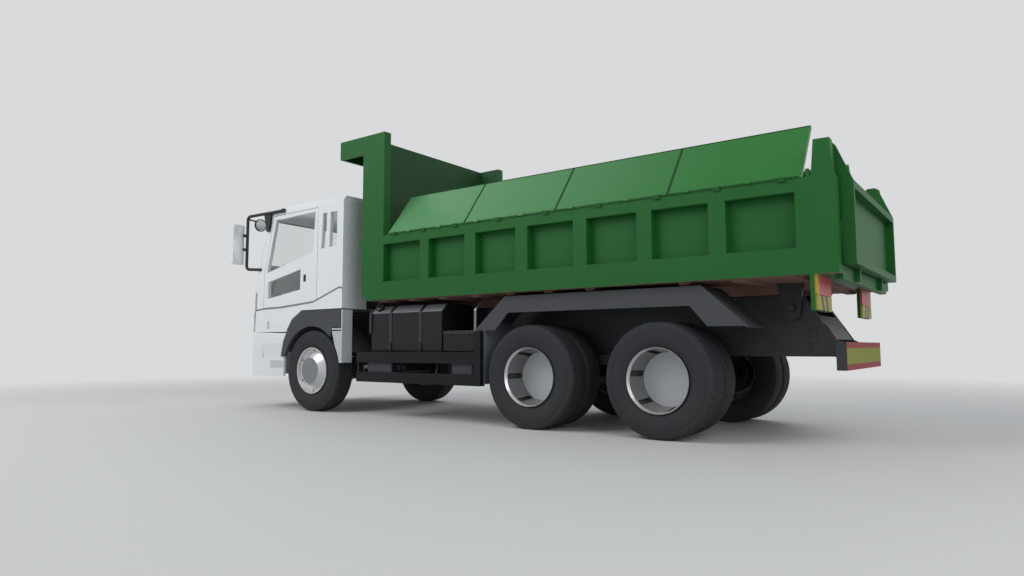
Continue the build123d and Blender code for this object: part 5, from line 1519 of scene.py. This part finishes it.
@dataclass
class SideEquipment:
    """Caps, clamps and plates of the tank, the battery box and the guards."""

    neck_end: tuple[float, float, float] = (1330.0, 1050.0, 1312.0)
    neck_way: tuple[float, float, float] = (0.0, 40.0, 42.0)
    cap_profile: tuple[tuple[float, float], ...] = (
        (0, 0), (0, 55), (24, 55), (30, 50), (30, 20), (26, 16), (26, 0))
    cap_ribs: int = 18
    slope_y: float = 700.0          # the tank's sloped top lies beyond this
    socket_low: Point = (1434.0, 890.0, 985.0)      # the filler's socket lies beyond this X, Y and Z
    hoop_x: float = -194.0          # the battery box's hoop lies behind this
    hoop_z: float = 955.0
    bands: tuple[float, ...] = (620.0, 1110.0)
    band_half: float = 23.0
    band_foot: float = 760.0
    band_face: float = 1092.0       # Y of the tightening bolts
    clamp_half: float = 18.0
    clamp_z: tuple[float, float] = (800.0, 846.0)
    stud_z: tuple[float, float] = (772.0, 880.0)
    nut_z: tuple[float, ...] = (788.0, 862.0)
    nut_size: float = 11.0          # radius and height
    catches: tuple[float, ...] = (-90.0, 165.0)
    catch_half: float = 20.0
    catch_z: tuple[float, float] = (930.0, 984.0)
    wire_half: float = 13.0
    wire_z: tuple[float, float] = (940.0, 972.0)
    plate_y: tuple[float, float] = (1119.0, 1141.0)
    plate_z: tuple[float, float] = (449.0, 701.0)
    flap_x: tuple[float, float] = (-359.0, -345.0)
    flap_top: float = 1096.0
    gusset_x: tuple[float, float] = (-262.0, -196.0)
    gusset_y: tuple[float, float] = (1122.0, 1128.0)
    gusset_z: tuple[float, float] = (448.0, 702.0)
    gusset_bolts: tuple[float, ...] = (480.0, 575.0, 670.0)

    def build(self) -> None:
        """Paints the faces that differ and builds the small pieces."""
        # painted highlight: the tank's upward-facing slope in lighter grey
        zone("fuel_tank", LIT_TANK_TOP_PAINT, lambda m, n: n.z > 0.3 and abs(m.y) > self.slope_y)
        zone("fuel_tank", CAST_IRON, lambda m, n: m.x > self.socket_low[0] and abs(m.y) > self.socket_low[1]
             and m.z > self.socket_low[2])
        zone("battery_box", HOOP_STEEL, lambda m, n: m.x < self.hoop_x and m.z > self.hoop_z)
        zone("fuel_tank", BAND_STEEL, lambda m, n: m.z > self.band_foot
             and any(abs(m.x - x) < self.band_half for x in self.bands))
        zone("side_guards", PLATE_GREY, lambda m, n: self.plate_y[0] < abs(m.y) < self.plate_y[1]
             and self.plate_z[0] < m.z < self.plate_z[1])
        zone("rear_mudguards", FLAP_RUBBER, lambda m, n: self.flap_x[0] < m.x < self.flap_x[1]
             and m.z < self.flap_top)
        self.filler_cap()
        self.clamps()
        self.gussets()

    def filler_cap(self) -> None:
        """Screws the ribbed cap onto the filler neck."""
        shape = Shape()
        way = Vector(self.neck_way).normalized()
        foot = Vector(self.neck_end) - way * 14
        shape.turned(self.cap_profile, foot, way, 36)
        side = way.orthogonal().normalized()
        other = way.cross(side)
        cap_r = self.cap_profile[1][1]
        for number in range(self.cap_ribs):
            angle = FULL_TURN * number / self.cap_ribs
            edge = foot + (side * math.cos(angle) + other * math.sin(angle)) * cap_r
            shape.rod(edge + way * 3, edge + way * 22, 3.0, segments=6)
        place_piece("filler_cap", shape, [TRIM_BLACK], "chassis")

    def clamps(self) -> None:
        """Adds the tightening bolts of the tank bands and the catches of the battery lid."""
        shape = Shape()
        y = self.band_face
        for x in self.bands:
            shape.box((x - self.clamp_half, y - 6, self.clamp_z[0]),
                      (x + self.clamp_half, y + 6, self.clamp_z[1]), 2.0)
            shape.rod((x, y, self.stud_z[0]), (x, y, self.stud_z[1]), 6, segments=10)
            for z in self.nut_z:
                shape.rod((x, y, z), (x, y, z + self.nut_size), self.nut_size, segments=6)
        low, high = self.wire_z
        for x in self.catches:
            shape.box((x - self.catch_half, y - 13, self.catch_z[0]),
                      (x + self.catch_half, y - 6, self.catch_z[1]), 2.0)
            left, right = x - self.wire_half, x + self.wire_half
            shape.tube([(left, y - 4, low), (left, y, high), (right, y, high), (right, y - 4, low)], 3.0, 8)
        place_piece("tank_clamps", shape, [BAND_STEEL], "chassis")

    def gussets(self) -> None:
        """Closes the slit between the rear plates and the posts of the side guards."""
        shape = Shape()
        (back, front), (foot, top) = self.gusset_x, self.gusset_z
        for side in Side:
            near, far = (side.value * y for y in self.gusset_y)
            shape.box((back, near, foot), (front, far, top), 1.0)
            for z in self.gusset_bolts:
                shape.bolt((front - 14, far, z), (0, side.value, 0), 14)
        place_piece("guard_gussets", shape, [PLATE_GREY], "chassis")


# ------------------------------------------------------------------ studio
@dataclass(frozen=True)
class Studio:
    """Pale floor, soft lamps and the camera."""

    camera_at: Point = (-4.9988, 6.9268, 0.8267)
    heading_deg: float = -53.645      # from +X towards +Y
    pitch_deg: float = 4.840
    roll_deg: float = -0.12
    lens_mm: float = 24.398
    sensor_mm: float = 36.0
    floor_size: float = 400.0
    sky: str = "#DDE3EA"
    sky_strength: float = 0.55
    # name, place, target, edge in metres and watts of each lamp
    lamps: tuple[tuple[str, Point, Point, float, float], ...] = (
        ("key", (5.0, 9.0, 9.0), (0.0, 0.0, 1.4), 7.0, 620.0),
        ("fill", (-9.0, 5.0, 5.0), (0.0, 0.0, 1.4), 6.0, 230.0),
        ("back", (2.0, -10.0, 8.0), (0.0, 0.0, 1.5), 7.0, 300.0),
    )

    def build(self) -> None:
        """Makes the floor, the world, the lamps and the camera."""
        self.floor()
        self.world()
        for lamp in self.lamps:
            self.lamp(*lamp)
        self.camera()

    def floor(self) -> None:
        """Lays the floor under the wheels."""
        bm = bmesh.new()
        bmesh.ops.create_grid(bm, x_segments=1, y_segments=1, size=self.floor_size / 2)
        mesh = bpy.data.meshes.new("studio_floor")
        bm.to_mesh(mesh)
        bm.free()
        mesh.materials.append(FLOOR.material())
        obj = add_object("studio_floor", mesh)

    def world(self) -> None:
        """Lights the air softly and shows the backdrop's colour to the camera, metal and glass."""
        world = bpy.data.worlds.new("studio")
        bpy.context.scene.world = world
        world.use_nodes = True
        tree = world.node_tree
        tree.nodes.clear()
        ambient = add_node(tree, "Background", Color=linear(self.sky), Strength=self.sky_strength)
        shown = add_node(tree, "Background", Color=linear(BACKDROP), Strength=1.0)
        mix = add_node(tree, "MixShader", {0: backdrop_rays(tree), 1: ambient.outputs[0],
                                           2: shown.outputs[0]})
        add_node(tree, "OutputWorld", {"Surface": mix.outputs[0]})

    def lamp(self, name: str, place: Point, target: Point, size: float, watts: float) -> None:
        """Hangs one soft square lamp.

        Args:
            name: The lamp's name.
            place: Where it hangs.
            target: What it faces.
            size: Its edge in metres.
            watts: Its power.
        """
        light = bpy.data.lights.new(name, "AREA")
        light.size = size
        light.energy = watts
        obj = add_object(name, light)
        obj.location = place
        obj.rotation_euler = (Vector(target) - Vector(place)).to_track_quat("-Z", "Y").to_euler()

    def camera(self) -> None:
        """Sets the camera at its measured place and heading."""
        camera = bpy.data.cameras.new("camera")
        camera.lens = self.lens_mm
        camera.sensor_width = self.sensor_mm
        camera.clip_end = 1000.0
        heading, pitch = math.radians(self.heading_deg), math.radians(self.pitch_deg)
        look = Vector((math.cos(pitch) * math.cos(heading), math.cos(pitch) * math.sin(heading),
                       math.sin(pitch)))
        turn = look.to_track_quat("-Z", "Y").to_matrix().to_4x4()
        roll = Matrix.Rotation(math.radians(self.roll_deg), 4, "Z")
        obj = add_object("camera", camera)
        obj.matrix_world = Matrix.Translation(self.camera_at) @ turn @ roll
        bpy.context.scene.camera = obj


def main() -> None:
    """Builds the studio and every sub-assembly in order."""
    logging.basicConfig(level=logging.INFO, format="%(relativeCreated)d ms: %(message)s")
    bpy.context.scene.view_settings.view_transform = "Standard"
    Studio().build()
    dress_nodes()
    for assembly in (Wheels(), CabTrim(), FrontTrim(), Seats(), BedTrim(), TailReflector(), ChassisHardware(),
                     SideEquipment()):
        log.info("building %s", type(assembly).__name__)
        assembly.build()


if __name__ == "__main__":
    main()
